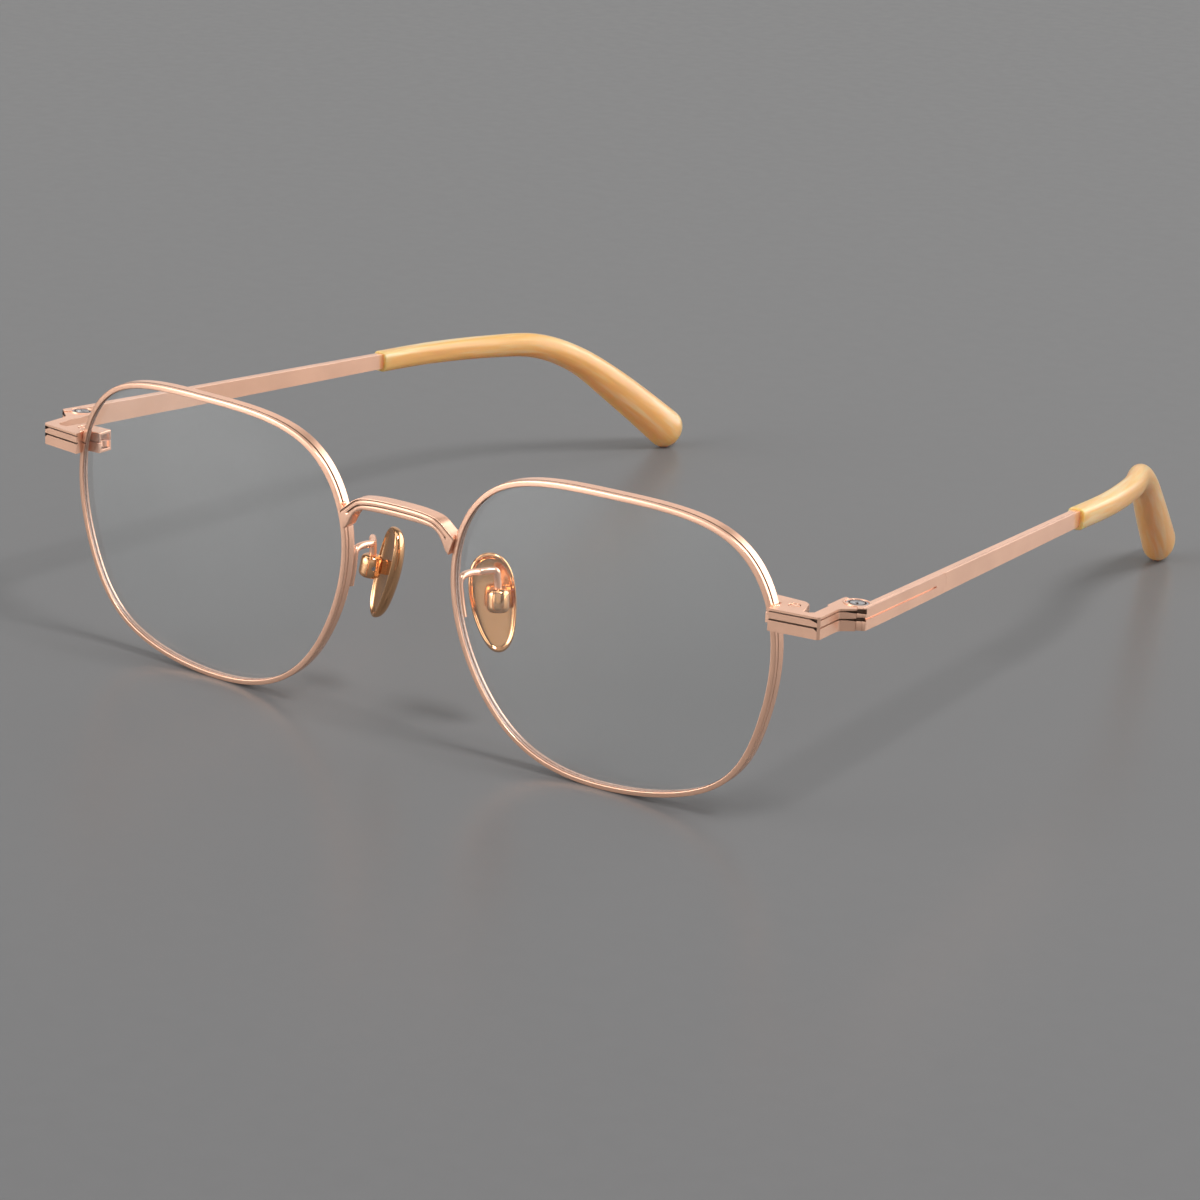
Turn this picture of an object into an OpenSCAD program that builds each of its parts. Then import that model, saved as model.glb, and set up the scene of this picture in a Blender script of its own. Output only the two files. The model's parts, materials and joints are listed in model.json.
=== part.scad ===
// Square metal eyeglasses with folding temples, rocking nose pads and sleeved temple tips.
// Lengths are in millimetres. +X is the wearer's left, the lenses face -Y and the temples run to +Y.
// The rims and the two temple tips stand on z = 0.
// Left pieces are drawn, and the right ones are their mirror images.

/* [Lenses and rims] */
// Width of one lens
lens_w = 49; // [47:0.5:51]
// Height of one lens
lens_h = 41; // [39:0.5:43]
// Thickness of a lens
lens_thick = 1.5; // [1.2:0.1:1.6]
// Distance between the lenses, over the nose
nose_gap = 19; // [18:0.5:20]
// Radius of the lenses' front curve
lens_curve_r = 130; // [110:5:180]
// Angle by which each lens wraps back towards its temple
face_wrap = 2.4; // [1.5:0.1:3.5]
// Angle by which the front leans forward at the top when it stands on a table
face_lean = 2.2; // [1.5:0.1:3]
// Wall of a rim, seen from the front
rim_wall = 0.75; // [0.7:0.05:0.9]
// Depth of a rim, from front to back
rim_depth = 2; // [1.8:0.1:2.2]
// Depth of the groove that holds the lens
lens_groove = 0.3; // [0.25:0.05:0.4]

/* [Bridge] */
// Height of the bridge bar
bridge_h = 1.75; // [1.6:0.05:2.1]
// Depth of the bridge bar
bridge_depth = 2.2; // [2:0.1:2.6]
// How far the bridge stands in front of the rims
bridge_proud = 0.6; // [0.4:0.1:0.8]
// Height of the bridge's top above the top of its solder joint
bridge_rise = 2.7; // [2.4:0.1:3.2]

/* [End pieces] */
// Height of an end piece and of the hinge
end_h = 3; // [2.8:0.1:3.2]
// Distance from the rim's side to the hinge screw, across the face
end_reach = 7.7; // [7.6:0.1:8.6]
// Distance from the front of an end piece to the hinge screw
hinge_setback = 9.6; // [9:0.1:10.4]
// Thickness of the bar across the front
front_bar = 1.9; // [1.6:0.1:2.1]
// Width of the arm that runs back to the hinge
arm_w = 1.65; // [1.4:0.05:2]
// Depth of the decorative grooves
groove_depth = 0.3; // [0.2:0.05:0.35]
// Height of the decorative grooves
groove_h = 0.24; // [0.16:0.02:0.3]

/* [Rim locks] */
// Length of a rim lock, from front to back
lock_depth = 3.8; // [3.5:0.1:4.1]
// Height of a rim lock
lock_h = 3; // [2.8:0.1:3.2]
// Radius of the rim screw's thread
rim_screw_r = 0.5; // [0.4:0.05:0.6]
// Radius of the rim screw's head
rim_screw_head_r = 0.72; // [0.65:0.01:0.8]

/* [Hinges] */
// Radius of the hinge screw's shank
hinge_screw_r = 0.68; // [0.5:0.02:0.75]
// Radius of the hinge screw's head
hinge_head_r = 1.48; // [1.4:0.02:1.5]
// Thickness of the hinge screw's head
hinge_head_h = 0.42; // [0.35:0.01:0.5]
// Radius of the temple's two hinge leaves
leaf_r = 1.85; // [1.8:0.01:1.95]
// Thickness of the end piece's middle leaf
mid_leaf = 0.72; // [0.6:0.02:0.8]
// Thickness of one hinge washer
washer_t = 0.1; // [0.08:0.01:0.12]
// Running clearance in the hinge
fit = 0.03; // [0.02:0.005:0.05]
// Slope of the temples down towards the back
temple_slope = 4.2; // [3.5:0.1:4.8]
// Angle by which an end piece lies flatter than its temple
end_level = 3.4; // [3:0.1:3.8]

/* [Temples] */
// Length of the metal bar behind the hinge screw, up to the sleeve
bar_len = 67.7; // [60:0.1:75]
// Thickness of the bar
bar_t = 1.25; // [1.1:0.05:1.4]
// Height of the bar where the sleeve begins
bar_back_h = 2.3; // [2.1:0.05:2.6]
// Angle by which the temples close in towards the back
toe_in = 4.4; // [3:0.1:5]
// Length of the grooved plate behind the hinge screw
plate_len = 24.5; // [20:0.1:28]
// Thickness of the grooved plate
plate_t = 0.4; // [0.35:0.05:0.5]
// Radius of the wire inside the sleeve
core_r = 0.6; // [0.5:0.05:0.7]

/* [Temple tips] */
// Height of a tip where the sleeve begins
tip_start_h = 3.2; // [3:0.1:3.4]
// Width of a tip where the sleeve begins
tip_start_w = 2.7; // [2.5:0.1:2.9]
// Height of a tip at its swollen end
tip_end_h = 6.6; // [6:0.1:7]
// Width of a tip at its swollen end
tip_end_w = 5.2; // [4.6:0.1:5.6]
// Length of the tip from the sleeve's mouth to the bend
tip_straight = 33; // [30:0.5:36]
// Length of the tip's drooping part, measured along the table
tip_droop = 25.6; // [23:0.2:28]

/* [Nose pads] */
// Height of a nose pad
pad_h = 12.6; // [12:0.1:13.5]
// Width of a nose pad
pad_w = 5.9; // [5.6:0.1:6.4]
// Depth of the dish in the pad's back
pad_dish = 0.6; // [0.5:0.05:0.7]
// Height of the pad's domed face
pad_dome = 2.2; // [2:0.05:2.4]
// Radius of the pad box
box_r = 1.55; // [1.4:0.05:1.7]
// Height of the pad box
box_h = 3.3; // [3.1:0.1:3.6]
// Radius of the pin through the pad box
pad_pin_r = 0.3; // [0.25:0.01:0.35]
// Radius of the pad arm's wire
wire_r = 0.5; // [0.45:0.01:0.55]

/* [Hidden] */

rose_gold = [0.87, 0.68, 0.58];
pad_gold = [0.80, 0.60, 0.44];
steel = [0.78, 0.78, 0.80];
honey = [0.85, 0.63, 0.36];
clear_glass = [0.88, 0.92, 0.94, 0.35];

// Round bores and shafts are drawn with this many sides
bore_sides = 48;
// Rings along a rim and along the edge of a lens
rim_rings = 100;
lens_rings = 96;
// Clearance between the lens and the rim's inner wall
lens_fit = 0.05;

// Outline of a rim's middle line, round the lens's centre: control points of a closed
// curve for a lens of 49 by 41, temple side first
drawn_lens = [49, 41];
outline_points = [[23, -8], [26, 7], [19.5, 20.5], [0.5, 21], [-19.5, 20.5],
    [-26.5, 6.5], [-22.5, -8.5], [-14, -19], [0, -21], [17.5, -17.8]];
outline = [for (p = outline_points) [p.x * lens_w / drawn_lens.x, p.y * lens_h / drawn_lens.y]];
turns = len(outline);

// One point on the closed curve of control points c, at t from 0 to len(c)
function curve_at(c, t) =
    let (n = len(c), i = floor(t), f = t - i)
    (c[(i - 1 + n) % n] * pow(1 - f, 3)
        + c[i % n] * (3 * pow(f, 3) - 6 * pow(f, 2) + 4)
        + c[(i + 1) % n] * (-3 * pow(f, 3) + 3 * pow(f, 2) + 3 * f + 1)
        + c[(i + 2) % n] * pow(f, 3)) / 6;
function unit(v) = v / norm(v);
// Outward direction across the curve at t
function curve_out(c, t) =
    let (h = 0.01, d = unit(curve_at(c, t + h) - curve_at(c, t + len(c) - h))) [d.y, -d.x];
// A point set off from the curve by a distance, outwards
function curve_offset(c, t, off) = curve_at(c, t) + curve_out(c, t) * off;

// Places of the lens centre and of the face's surface
lens_x = nose_gap / 2 + lens_w / 2;
lens_z = 20.42 * lens_h / drawn_lens.y;
face_y = -1.6;
// A point of the curved front: p is measured on the face, d goes back from its front
function on_face(p, d) =
    let (x = p.x + lens_x, z = p.y + lens_z,
        back = (p.x * p.x + p.y * p.y) / (2 * lens_curve_r) + tan(face_wrap) * x + d)
    [x, face_y + back * cos(face_lean) - z * sin(face_lean), z * cos(face_lean) + back * sin(face_lean)];

// The rim is cut through where the rim lock holds its two ends
lock_turn = 1.17;
rim_cut = 0.15;
lock_point = on_face(curve_at(outline, lock_turn), 0);

// Faces of a tube of rings, each of m points, with flat ends
function tube_faces(n, m) = concat(
    [for (i = [0 : n - 2], j = [0 : m - 1]) each
        [[i * m + j, i * m + (j + 1) % m, (i + 1) * m + (j + 1) % m],
         [i * m + j, (i + 1) * m + (j + 1) % m, (i + 1) * m + j]]],
    [[for (j = [m - 1 : -1 : 0]) j], [for (j = [0 : m - 1]) (n - 1) * m + j]]);
module tube(rings) {
    polyhedron([for (r = rings) each r], tube_faces(len(rings), len(rings[0])), convexity = 8);
}

// Section of a rim: distance out from its middle line, distance back from its front
half_wall = rim_wall / 2;
bevel_half = 0.35;
line_at = 0.6;
line_half = 0.12;
line_depth = 0.12;
mid_depth = rim_depth / 2;
rim_section = [[-half_wall, 0], [-half_wall, mid_depth - bevel_half], [-half_wall + lens_groove, mid_depth],
    [-half_wall, mid_depth + bevel_half], [-half_wall, rim_depth], [half_wall, rim_depth],
    [half_wall, line_at + line_half], [half_wall - line_depth, line_at], [half_wall, line_at - line_half],
    [half_wall, 0]];
// Turn of the curve at ring i, leaving the cut open
cut_turns = rim_cut / norm(curve_at(outline, lock_turn + 0.5) - curve_at(outline, lock_turn - 0.5 + turns));
function rim_turn(i) = lock_turn + cut_turns / 2 + (turns - cut_turns) * i / (rim_rings - 1);
module rim() {
    tube([for (i = [0 : rim_rings - 1]) let (t = rim_turn(i))
        [for (s = rim_section) on_face(curve_offset(outline, t, s.x), s.y)]]);
}

// The lens: rings of points from the middle of its front, round its bevelled edge, to its back
lens_edge = -half_wall - lens_fit;
bevel_out = lens_edge + lens_groove - lens_fit;
lens_front = (rim_depth - lens_thick) / 2;
lens_back = lens_front + lens_thick;
lens_bevel = bevel_half - 0.1;
// How far out each ring lies, as a share of the way, its distance to the edge, its depth
lens_steps = [[0.3, lens_edge, lens_front], [0.65, lens_edge, lens_front], [1, lens_edge, lens_front],
    [1, lens_edge, mid_depth - lens_bevel], [1, bevel_out, mid_depth], [1, lens_edge, mid_depth + lens_bevel],
    [1, lens_edge, lens_back], [0.65, lens_edge, lens_back], [0.3, lens_edge, lens_back]];
module lens() {
    tube([for (s = lens_steps)
        [for (i = [0 : lens_rings - 1]) let (t = turns * i / lens_rings)
            on_face(s[0] * curve_offset(outline, t, s[1]), s[2])]]);
}

// The bridge: half of its front outline, from the nose's middle line out to the solder joint
joint_turn = 4.8;
joint_point = on_face(curve_offset(outline, joint_turn, half_wall), 0);
joint_lap = 0.12;
joint_rise = 0.6;
joint_h = 2.4;
joint_x = joint_point.x + joint_lap;
joint_top = joint_point.z + joint_rise;
bridge_top = joint_top + bridge_rise;
bridge_bottom = bridge_top - bridge_h;
// Bends of the top edge: how far in from the joint, and how far below the top of the bridge
crown_bend = [4.45, 0.25];
shoulder_bend = [2.45, 0.75];
// Bends of the lower edge: how far in from the joint, and how far below the underside of the bridge
low_crown_bend = [4.3, 0.12];
low_bend = [3.1, 0.4];
low_shoulder_bend = [2.1, 1.4];
// The foot of the joint: how far in from it, and how far above its lowest point
foot_out = [0.45, 0.1];
foot_mid = [0.8, 0];
foot_in = [1.25, 0.4];
foot_z = joint_top - joint_h - foot_out.y;
bridge_edge_top = [[0, bridge_top], [joint_x - crown_bend.x, bridge_top - crown_bend.y],
    [joint_x - shoulder_bend.x, bridge_top - shoulder_bend.y], [joint_x, joint_top]];
bridge_edge_low = concat([for (p = [foot_out, foot_mid, foot_in]) [joint_x - p.x, foot_z + p.y]],
    [for (p = [low_shoulder_bend, low_bend, low_crown_bend]) [joint_x - p.x, bridge_bottom - p.y]],
    [[0, bridge_bottom]]);
bridge_front_y = joint_point.y - bridge_proud;
// Points of an open line moved sideways by d, towards its right
function moved(line, d) = [for (i = [0 : len(line) - 1])
    let (a = unit(line[i] - line[max(i - 1, 0)] + [1e-9, 0]),
        b = unit(line[min(i + 1, len(line) - 1)] - line[i] + [1e-9, 0]),
        before = i == 0 ? b : a,
        after = i == len(line) - 1 ? a : b,
        m = unit(before + after))
    line[i] + [m.y, -m.x] * d / (m * before)];
function backwards(line) = [for (i = [len(line) - 1 : -1 : 0]) line[i]];
// The same line on the other side of the nose, without its point on the middle line
function other_half(line) = [for (p = line) if (p.x > 0) [-p.x, p.y]];
bridge_line = concat(backwards(other_half(bridge_edge_top)), bridge_edge_top);
bridge_outline = concat(bridge_line, bridge_edge_low, backwards(other_half(bridge_edge_low)));
// Strip of height h whose top runs a distance down below the bridge's top line
module bridge_strip(down, h) {
    polygon(concat(moved(bridge_line, down), backwards(moved(bridge_line, down + h))));
}
top_line_down = 0.2;
mid_line_down = 0.8;
mid_line_end = 2.2;
module bridge_bar() {
    translate([0, bridge_front_y + bridge_depth, 0])
        rotate([90, 0, 0])
            difference() {
                linear_extrude(bridge_depth) polygon(bridge_outline);
                translate([0, 0, bridge_depth - groove_depth])
                    linear_extrude(1) bridge_strip(top_line_down, groove_h * 0.6);
                translate([0, 0, bridge_depth - groove_depth])
                    linear_extrude(1)
                        intersection() {
                            bridge_strip(mid_line_down, groove_h);
                            square([2 * (joint_x - mid_line_end), 3 * bridge_top], center = true);
                        }
            }
}

// The hinge screw stands at the origin of the hinge frame, whose z = 0 is the top face
hinge_x = lock_point.x + end_reach;
end_proud = 1.1;
end_top_rise = 1.35;
end_front_y = lock_point.y - end_proud;
hinge_y = end_front_y + hinge_setback;
hinge_z = lock_point.z + end_top_rise;
module hinge_frame() {
    translate([hinge_x, hinge_y, hinge_z]) rotate([-temple_slope, 0, 0]) children();
}
function turned(r, a) = [r * cos(a), r * sin(a)];
// Frame of the end piece and its rim lock, in the hinge frame
module front_frame() { rotate([end_level, 0, 0]) children(); }

// Plan of an end piece in the hinge frame
side_u = -0.35;
sweep_back = 0.95;
seam_angle = -59.7;
seam_r = 2.78;
seam_out = turned(seam_r, seam_angle);
facet_slope = 39;
facet_in = [side_u + 0.45, seam_out.y - (seam_out.x - side_u - 0.45) * tan(facet_slope)];
socket_r = leaf_r + fit;
lobe_r = leaf_r + 0.5;
wrap_end = 158;
seam_side = 2 * seam_r;
front_v = -hinge_setback;
end_lap = 0.1;
end_inner_u = -end_reach + half_wall - end_lap;
// The outer corner is cut off by a flat, which the grooves stop short of
corner = [side_u, front_v + sweep_back];
corner_cut = 0.3;
front_line = [[end_inner_u, front_v], corner + corner_cut * unit([end_inner_u, front_v] - corner)];
arm_line_out = [corner + [0, corner_cut], [side_u, facet_in.y - 0.7], [side_u + 0.15, facet_in.y - 0.3],
    facet_in, seam_out];
end_outer_line = concat(front_line, arm_line_out);
arm_in = side_u - arm_w;
end_plan = concat(end_outer_line, [[0, 0]],
    [for (a = [wrap_end : 8 : 180]) turned(lobe_r, a)],
    [[-lobe_r, facet_in.y], [arm_in, facet_in.y - 0.5], [arm_in, front_v + front_bar + 0.5],
     [arm_in - 0.6, front_v + front_bar], [end_inner_u, front_v + front_bar]]);
mid_top = -(end_h - mid_leaf) / 2;
mid_bottom = mid_top - mid_leaf;
groove_top = -end_h / 2 + groove_h / 2 + 0.05;
kerf_top = -0.3;
kerf_h = groove_h * 0.7;
module band(line, depth, top, h) {
    translate([0, 0, top - h])
        linear_extrude(h)
            polygon(concat(moved(line, 1), backwards(moved(line, -depth))));
}
screw_bore_r = hinge_screw_r + 0.02;
module end_piece() {
    difference() {
        front_frame()
            difference() {
                translate([0, 0, -end_h]) linear_extrude(end_h) polygon(end_plan);
                for (line = [front_line, arm_line_out]) {
                    band(line, groove_depth, kerf_top, kerf_h);
                    band(line, groove_depth, groove_top, groove_h);
                }
            }
        // The temple's side of the seam and of the lobe's end
        translate([0, 0, -2 * end_h])
            linear_extrude(3 * end_h)
                polygon([[0, 0], turned(seam_side, seam_angle), [2 * seam_side, 0], turned(seam_side, wrap_end)]);
        translate([0, 0, mid_top]) cylinder(r = socket_r, h = end_h, $fn = bore_sides);
        translate([0, 0, mid_bottom - end_h]) cylinder(r = socket_r, h = end_h, $fn = bore_sides);
        translate([0, 0, -end_h]) cylinder(r = screw_bore_r, h = end_h, $fn = bore_sides);
    }
    difference() {
        translate([0, 0, mid_bottom]) cylinder(r = mid_leaf_r, h = mid_leaf, $fn = bore_sides);
        translate([0, 0, -end_h]) cylinder(r = screw_bore_r, h = end_h, $fn = bore_sides);
    }
}
mid_leaf_r = leaf_r - 0.15;

// Hinge washers lie between the leaves, with a little play
leaf_gap = 0.02;
washer_top = mid_top + leaf_gap;
module washers() {
    for (z = [washer_top, mid_bottom - leaf_gap - washer_t])
        translate([0, 0, z])
            difference() {
                cylinder(r = mid_leaf_r, h = washer_t, $fn = bore_sides);
                translate([0, 0, -1]) cylinder(r = screw_bore_r, h = washer_t + 2, $fn = bore_sides);
            }
}
top_leaf_bottom = washer_top + washer_t + leaf_gap;
low_leaf_top = mid_bottom - 2 * leaf_gap - washer_t;

// The hinge screw: a low head with a cross cut in it
head_sunk = 0.06;
head_room = 0.08;
cross_len = 1.5;
cross_w = 0.32;
cross_depth = 0.2;
module hinge_screw() {
    difference() {
        union() {
            translate([0, 0, -head_sunk - hinge_head_h])
                cylinder(r = hinge_head_r, h = hinge_head_h, $fn = bore_sides);
            translate([0, 0, -end_h + head_sunk])
                cylinder(r = hinge_screw_r, h = end_h - head_sunk - hinge_head_h, $fn = bore_sides);
        }
        for (a = [0, 90])
            rotate(a + 25)
                translate([-cross_len / 2, -cross_w / 2, -head_sunk - cross_depth])
                    cube([cross_len, cross_w, 1]);
    }
}

// Temple: distance of the bar's outer face from the hinge screw, at v behind it
temple_corner = seam_out + 1.27 * [cos(facet_slope), sin(facet_slope)];
function outer_u(v) = temple_corner.x - (v - temple_corner.y) * tan(toe_in);
function outer_at(v) = [outer_u(v), v];
bar_step = [bar_t / cos(toe_in), 0];
seam_step = turned(fit, seam_angle + 90);
head_plan = concat([[0, 0], seam_out + seam_step, temple_corner],
    [outer_at(bar_len), outer_at(bar_len) - bar_step, outer_at(1.4) - bar_step]);
plate_end_r = end_h / 2 + 0.35;
plate_flat = plate_len - 0.55;
core_len = 13.5;
// Frame that lies on the bar's outer face: x goes back along it and y goes up
module outer_face_frame() {
    translate([temple_corner.x, temple_corner.y, -end_h / 2])
        rotate([0, 0, 90 + toe_in])
            rotate([90, 0, 0])
                children();
}
// Side view of the grooved plate, with a round end that fits the bar
module plate_profile(grow) {
    intersection() {
        translate([-1, -end_h / 2 - 1]) square([plate_flat + 10, end_h + 2]);
        union() {
            translate([-1, -end_h / 2 - 1]) square([plate_flat + 1 - 1.2, end_h + 2]);
            translate([plate_flat - plate_end_r - 0.02, 0]) circle(r = plate_end_r + grow, $fn = 96);
        }
    }
}
module temple_solid() {
    difference() {
        union() {
            translate([0, 0, -end_h]) linear_extrude(end_h) polygon(head_plan);
            translate([0, 0, top_leaf_bottom])
                cylinder(r = leaf_r, h = -top_leaf_bottom, $fn = bore_sides);
            translate([0, 0, -end_h])
                cylinder(r = leaf_r, h = low_leaf_top + end_h, $fn = bore_sides);
        }
        // Room for the end piece's middle leaf and the washers
        translate([0, 0, low_leaf_top])
            cylinder(r = mid_leaf_r + 2 * fit, h = top_leaf_bottom - low_leaf_top, $fn = bore_sides);
        translate([0, 0, -end_h - 1]) cylinder(r = screw_bore_r, h = end_h + 2, $fn = bore_sides);
        translate([0, 0, -head_sunk - hinge_head_h])
            cylinder(r = hinge_head_r + head_room, h = 1, $fn = bore_sides);
        // Underside, which rises towards the back
        rotate([90, 0, 90])
            translate([0, 0, -20])
                linear_extrude(40)
                    polygon([[4, -end_h], [bar_len + 2, -bar_back_h], [bar_len + 2, -end_h - 2], [4, -end_h - 2]]);
    }
}
module temple() {
    difference() {
        temple_solid();
        outer_face_frame()
            translate([0, 0, -plate_t]) linear_extrude(2) plate_profile(fit);
    }
    // Wire that runs on into the sleeve
    translate([outer_u(bar_len) - bar_t / 2, bar_len, -bar_back_h / 2])
        rotate([-90, 0, toe_in])
            translate([0, 0, -1.5]) cylinder(r = core_r, h = core_len, $fn = bore_sides);
}
module temple_plate() {
    difference() {
        intersection() {
            temple_solid();
            outer_face_frame()
                translate([0, 0, -plate_t + fit]) linear_extrude(2) plate_profile(0);
        }
        outer_face_frame()
            translate([-1, groove_top + end_h / 2 - groove_h, -groove_depth])
                cube([plate_flat - 3 + 1, groove_h, 2]);
    }
}

// Rim locks: plan in the hinge frame, round at the back
lock_top = -0.1;
lock_split = lock_top - lock_h / 2;
split_gap = 0.1;
lock_front_v = front_v + front_bar;
lock_back_v = lock_front_v + lock_depth;
rim_u = -end_reach;
lock_in = 1.9;
lock_plan = [[rim_u + half_wall - 0.08, lock_front_v], [rim_u + 4.3, lock_front_v], [rim_u + 3.9, lock_front_v + 1.4],
    [rim_u + 3.3, lock_back_v - 0.6], [rim_u + 2.6, lock_back_v - 0.1], [rim_u + 2.2, lock_back_v],
    [rim_u - lock_in, lock_back_v], [rim_u - lock_in, lock_front_v + 1.33], [rim_u + half_wall - 0.08, lock_front_v + 1.33]];
rim_screw_at = [rim_u + 2.05, lock_front_v + 1.6];
notch_r = 0.85;
notch_at = [rim_u - lock_in, lock_back_v - 1.2];
lock_roof = 0.45;
rim_screw_head_h = 0.35;
module upper_lock() {
    difference() {
        translate([0, 0, lock_split + split_gap / 2])
            linear_extrude(lock_top - lock_split - split_gap / 2) polygon(lock_plan);
        translate([rim_screw_at.x, rim_screw_at.y, lock_split - 1])
            cylinder(r = rim_screw_r + 0.02, h = lock_h, $fn = bore_sides);
        translate([rim_screw_at.x, rim_screw_at.y, lock_top - rim_screw_head_h])
            cylinder(r = rim_screw_head_r + head_room, h = 1, $fn = bore_sides);
        translate([notch_at.x, notch_at.y, lock_split - 1])
            cylinder(r = notch_r, h = lock_top - lock_roof - lock_split + 1, $fn = bore_sides);
    }
}
module lower_lock() {
    low = lock_top - lock_h;
    difference() {
        translate([0, 0, low])
            linear_extrude(lock_split - split_gap / 2 - low) polygon(lock_plan);
        translate([rim_screw_at.x, rim_screw_at.y, low + 0.3])
            cylinder(r = rim_screw_r + 0.02, h = lock_h, $fn = bore_sides);
        translate([notch_at.x, notch_at.y, low + lock_roof])
            cylinder(r = notch_r, h = lock_h, $fn = bore_sides);
    }
}
module rim_screw() {
    translate([rim_screw_at.x, rim_screw_at.y, 0])
        difference() {
            union() {
                translate([0, 0, lock_top - rim_screw_head_h])
                    cylinder(r = rim_screw_head_r, h = rim_screw_head_h - 0.04, $fn = bore_sides);
                translate([0, 0, lock_top - lock_h + 0.35])
                    cylinder(r = rim_screw_r, h = lock_h - 0.35 - rim_screw_head_h + 0.02, $fn = bore_sides);
            }
            translate([-1, -0.09, lock_top - 0.2]) cube([2, 0.18, 1]);
        }
}

// Middle line of a temple tip, from the sleeve's mouth to its swollen end
bar_end = [hinge_x + outer_u(bar_len) - bar_t / 2, hinge_y + bar_len * cos(temple_slope),
    hinge_z - bar_len * sin(temple_slope) - bar_back_h / 2 - 0.12];
tip_low = 3.22;
mouth_lap = 1.2;
// How far the line has closed in and come down from the bar's end at each of its points
tip_closed = [-0.1, 0.9, 3.4, 6.6, 9.5, 12.3, 15.3];
tip_down = [-0.1, 0.85, 1.95, 3.1, 6.7, 13.1, bar_end.z - tip_low];
tip_along = [-mouth_lap, tip_straight * 0.33, tip_straight * 0.7, tip_straight * 0.97,
    tip_straight + tip_droop * 0.27, tip_straight + tip_droop * 0.6, tip_straight + tip_droop];
tip_line = [for (i = [0 : len(tip_closed) - 1]) bar_end + [-tip_closed[i], tip_along[i], -tip_down[i]]];
// Share of the way from the tip's first section to its last at each of those points: width, height
tip_growth = [[0, 0], [0.04, 0.06], [0.14, 0.13], [0.28, 0.24], [0.56, 0.38], [0.84, 0.74], [1, 1]];
tip_sizes = [for (g = tip_growth)
    [tip_start_w + (tip_end_w - tip_start_w) * g.x, tip_start_h + (tip_end_h - tip_start_h) * g.y]];
// A point on the open curve through the points c, at t from 0 to len(c) - 1
function through(c, t) =
    let (n = len(c) - 1, i = min(floor(t), n - 1), f = t - i,
        a = c[max(i - 1, 0)], b = c[i], d = c[i + 1], e = c[min(i + 2, n)])
    b + (d - a) * f / 2 + (2 * a - 5 * b + 4 * d - e) * f * f / 2 + (3 * b - a - 3 * d + e) * f * f * f / 2;
// Section of a tip: a rectangle with very round corners
tip_sides = 20;
function round_box(a, p) = [sign(cos(a)) * pow(abs(cos(a)), p), sign(sin(a)) * pow(abs(sin(a)), p)] / 2;
tip_steps = 24;
cap_steps = 5;
function tip_ring(t, grow, ahead, box_power) =
    let (h = 0.02, t1 = min(t + h, len(tip_line) - 1), t0 = max(t - h, 0),
        dir = unit(through(tip_line, t1) - through(tip_line, t0)),
        side = unit(cross(dir, [0, 0, 1])), up = cross(side, dir),
        size = through(tip_sizes, t) * grow, mid = through(tip_line, t) + dir * ahead)
    [for (k = [0 : tip_sides - 1]) let (s = round_box(360 * k / tip_sides, box_power))
        mid + side * s.x * size.x + up * s.y * size.y];
tip_last = len(tip_line) - 1;
tip_cap = tip_end_h / 2 - 0.2;
module temple_tip() {
    difference() {
        tube(concat(
            [tip_ring(0, 0.9, -0.12, 0.55)],
            [for (i = [0 : tip_steps]) let (t = tip_last * i / tip_steps)
                tip_ring(t, 1, 0, 0.55 + 0.45 * min(1, t / 3))],
            [for (i = [1 : cap_steps]) let (a = 86 * i / cap_steps)
                tip_ring(tip_last, cos(a), tip_cap * sin(a), 1)]));
        hinge_frame()
            translate([outer_u(bar_len) - bar_t / 2, bar_len, -bar_back_h / 2])
                rotate([-90, 0, toe_in]) {
                    translate([-bar_t / 2 - fit, -bar_back_h / 2 - fit - 0.02, -3])
                        cube([bar_t + 2 * fit, bar_back_h + 2 * fit + 0.06, 3.02]);
                    cylinder(r = core_r + fit, h = core_len - 1.3, $fn = bore_sides);
                }
    }
}

// Pad frame, round the pin in the pad box: x runs across the pad from back to front,
// y up it, and z towards the nose
pad_turn = 37.5;
pad_tilt = 11;
box_at = [11.1, 8.85, 19.7];
module pad_frame() {
    translate(box_at)
        rotate([0, 0, pad_turn - 90])
            rotate([0, -pad_tilt, 0])
                rotate([90, 0, -90])
                    children();
}
// The point that lies h up the axis of the pad box
function box_axis(h) = box_at + h * [-sin(pad_tilt) * sin(pad_turn), sin(pad_tilt) * cos(pad_turn), cos(pad_tilt)];

// Outline of a pad, round the pad's own centre, drawn 7.5 wide and 13.8 high
pad_points = [[-4.5, -1], [-4, -7.2], [-0.2, -8.4], [2.6, -4], [4.6, 2], [3.4, 7.2], [-1.2, 7.6], [-3.9, 4.6]];
drawn_pad = [7.5, 13.8];
pad_shift = [0.8, -0.4];
pad_outline = [for (p = pad_points) [p.x * pad_w / drawn_pad.x, p.y * pad_h / drawn_pad.y]];
pad_rings = 32;
edge_t = 1.05;
// Distance from the pin to the plane of the pad's edge
box_off = 1.6;
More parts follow.
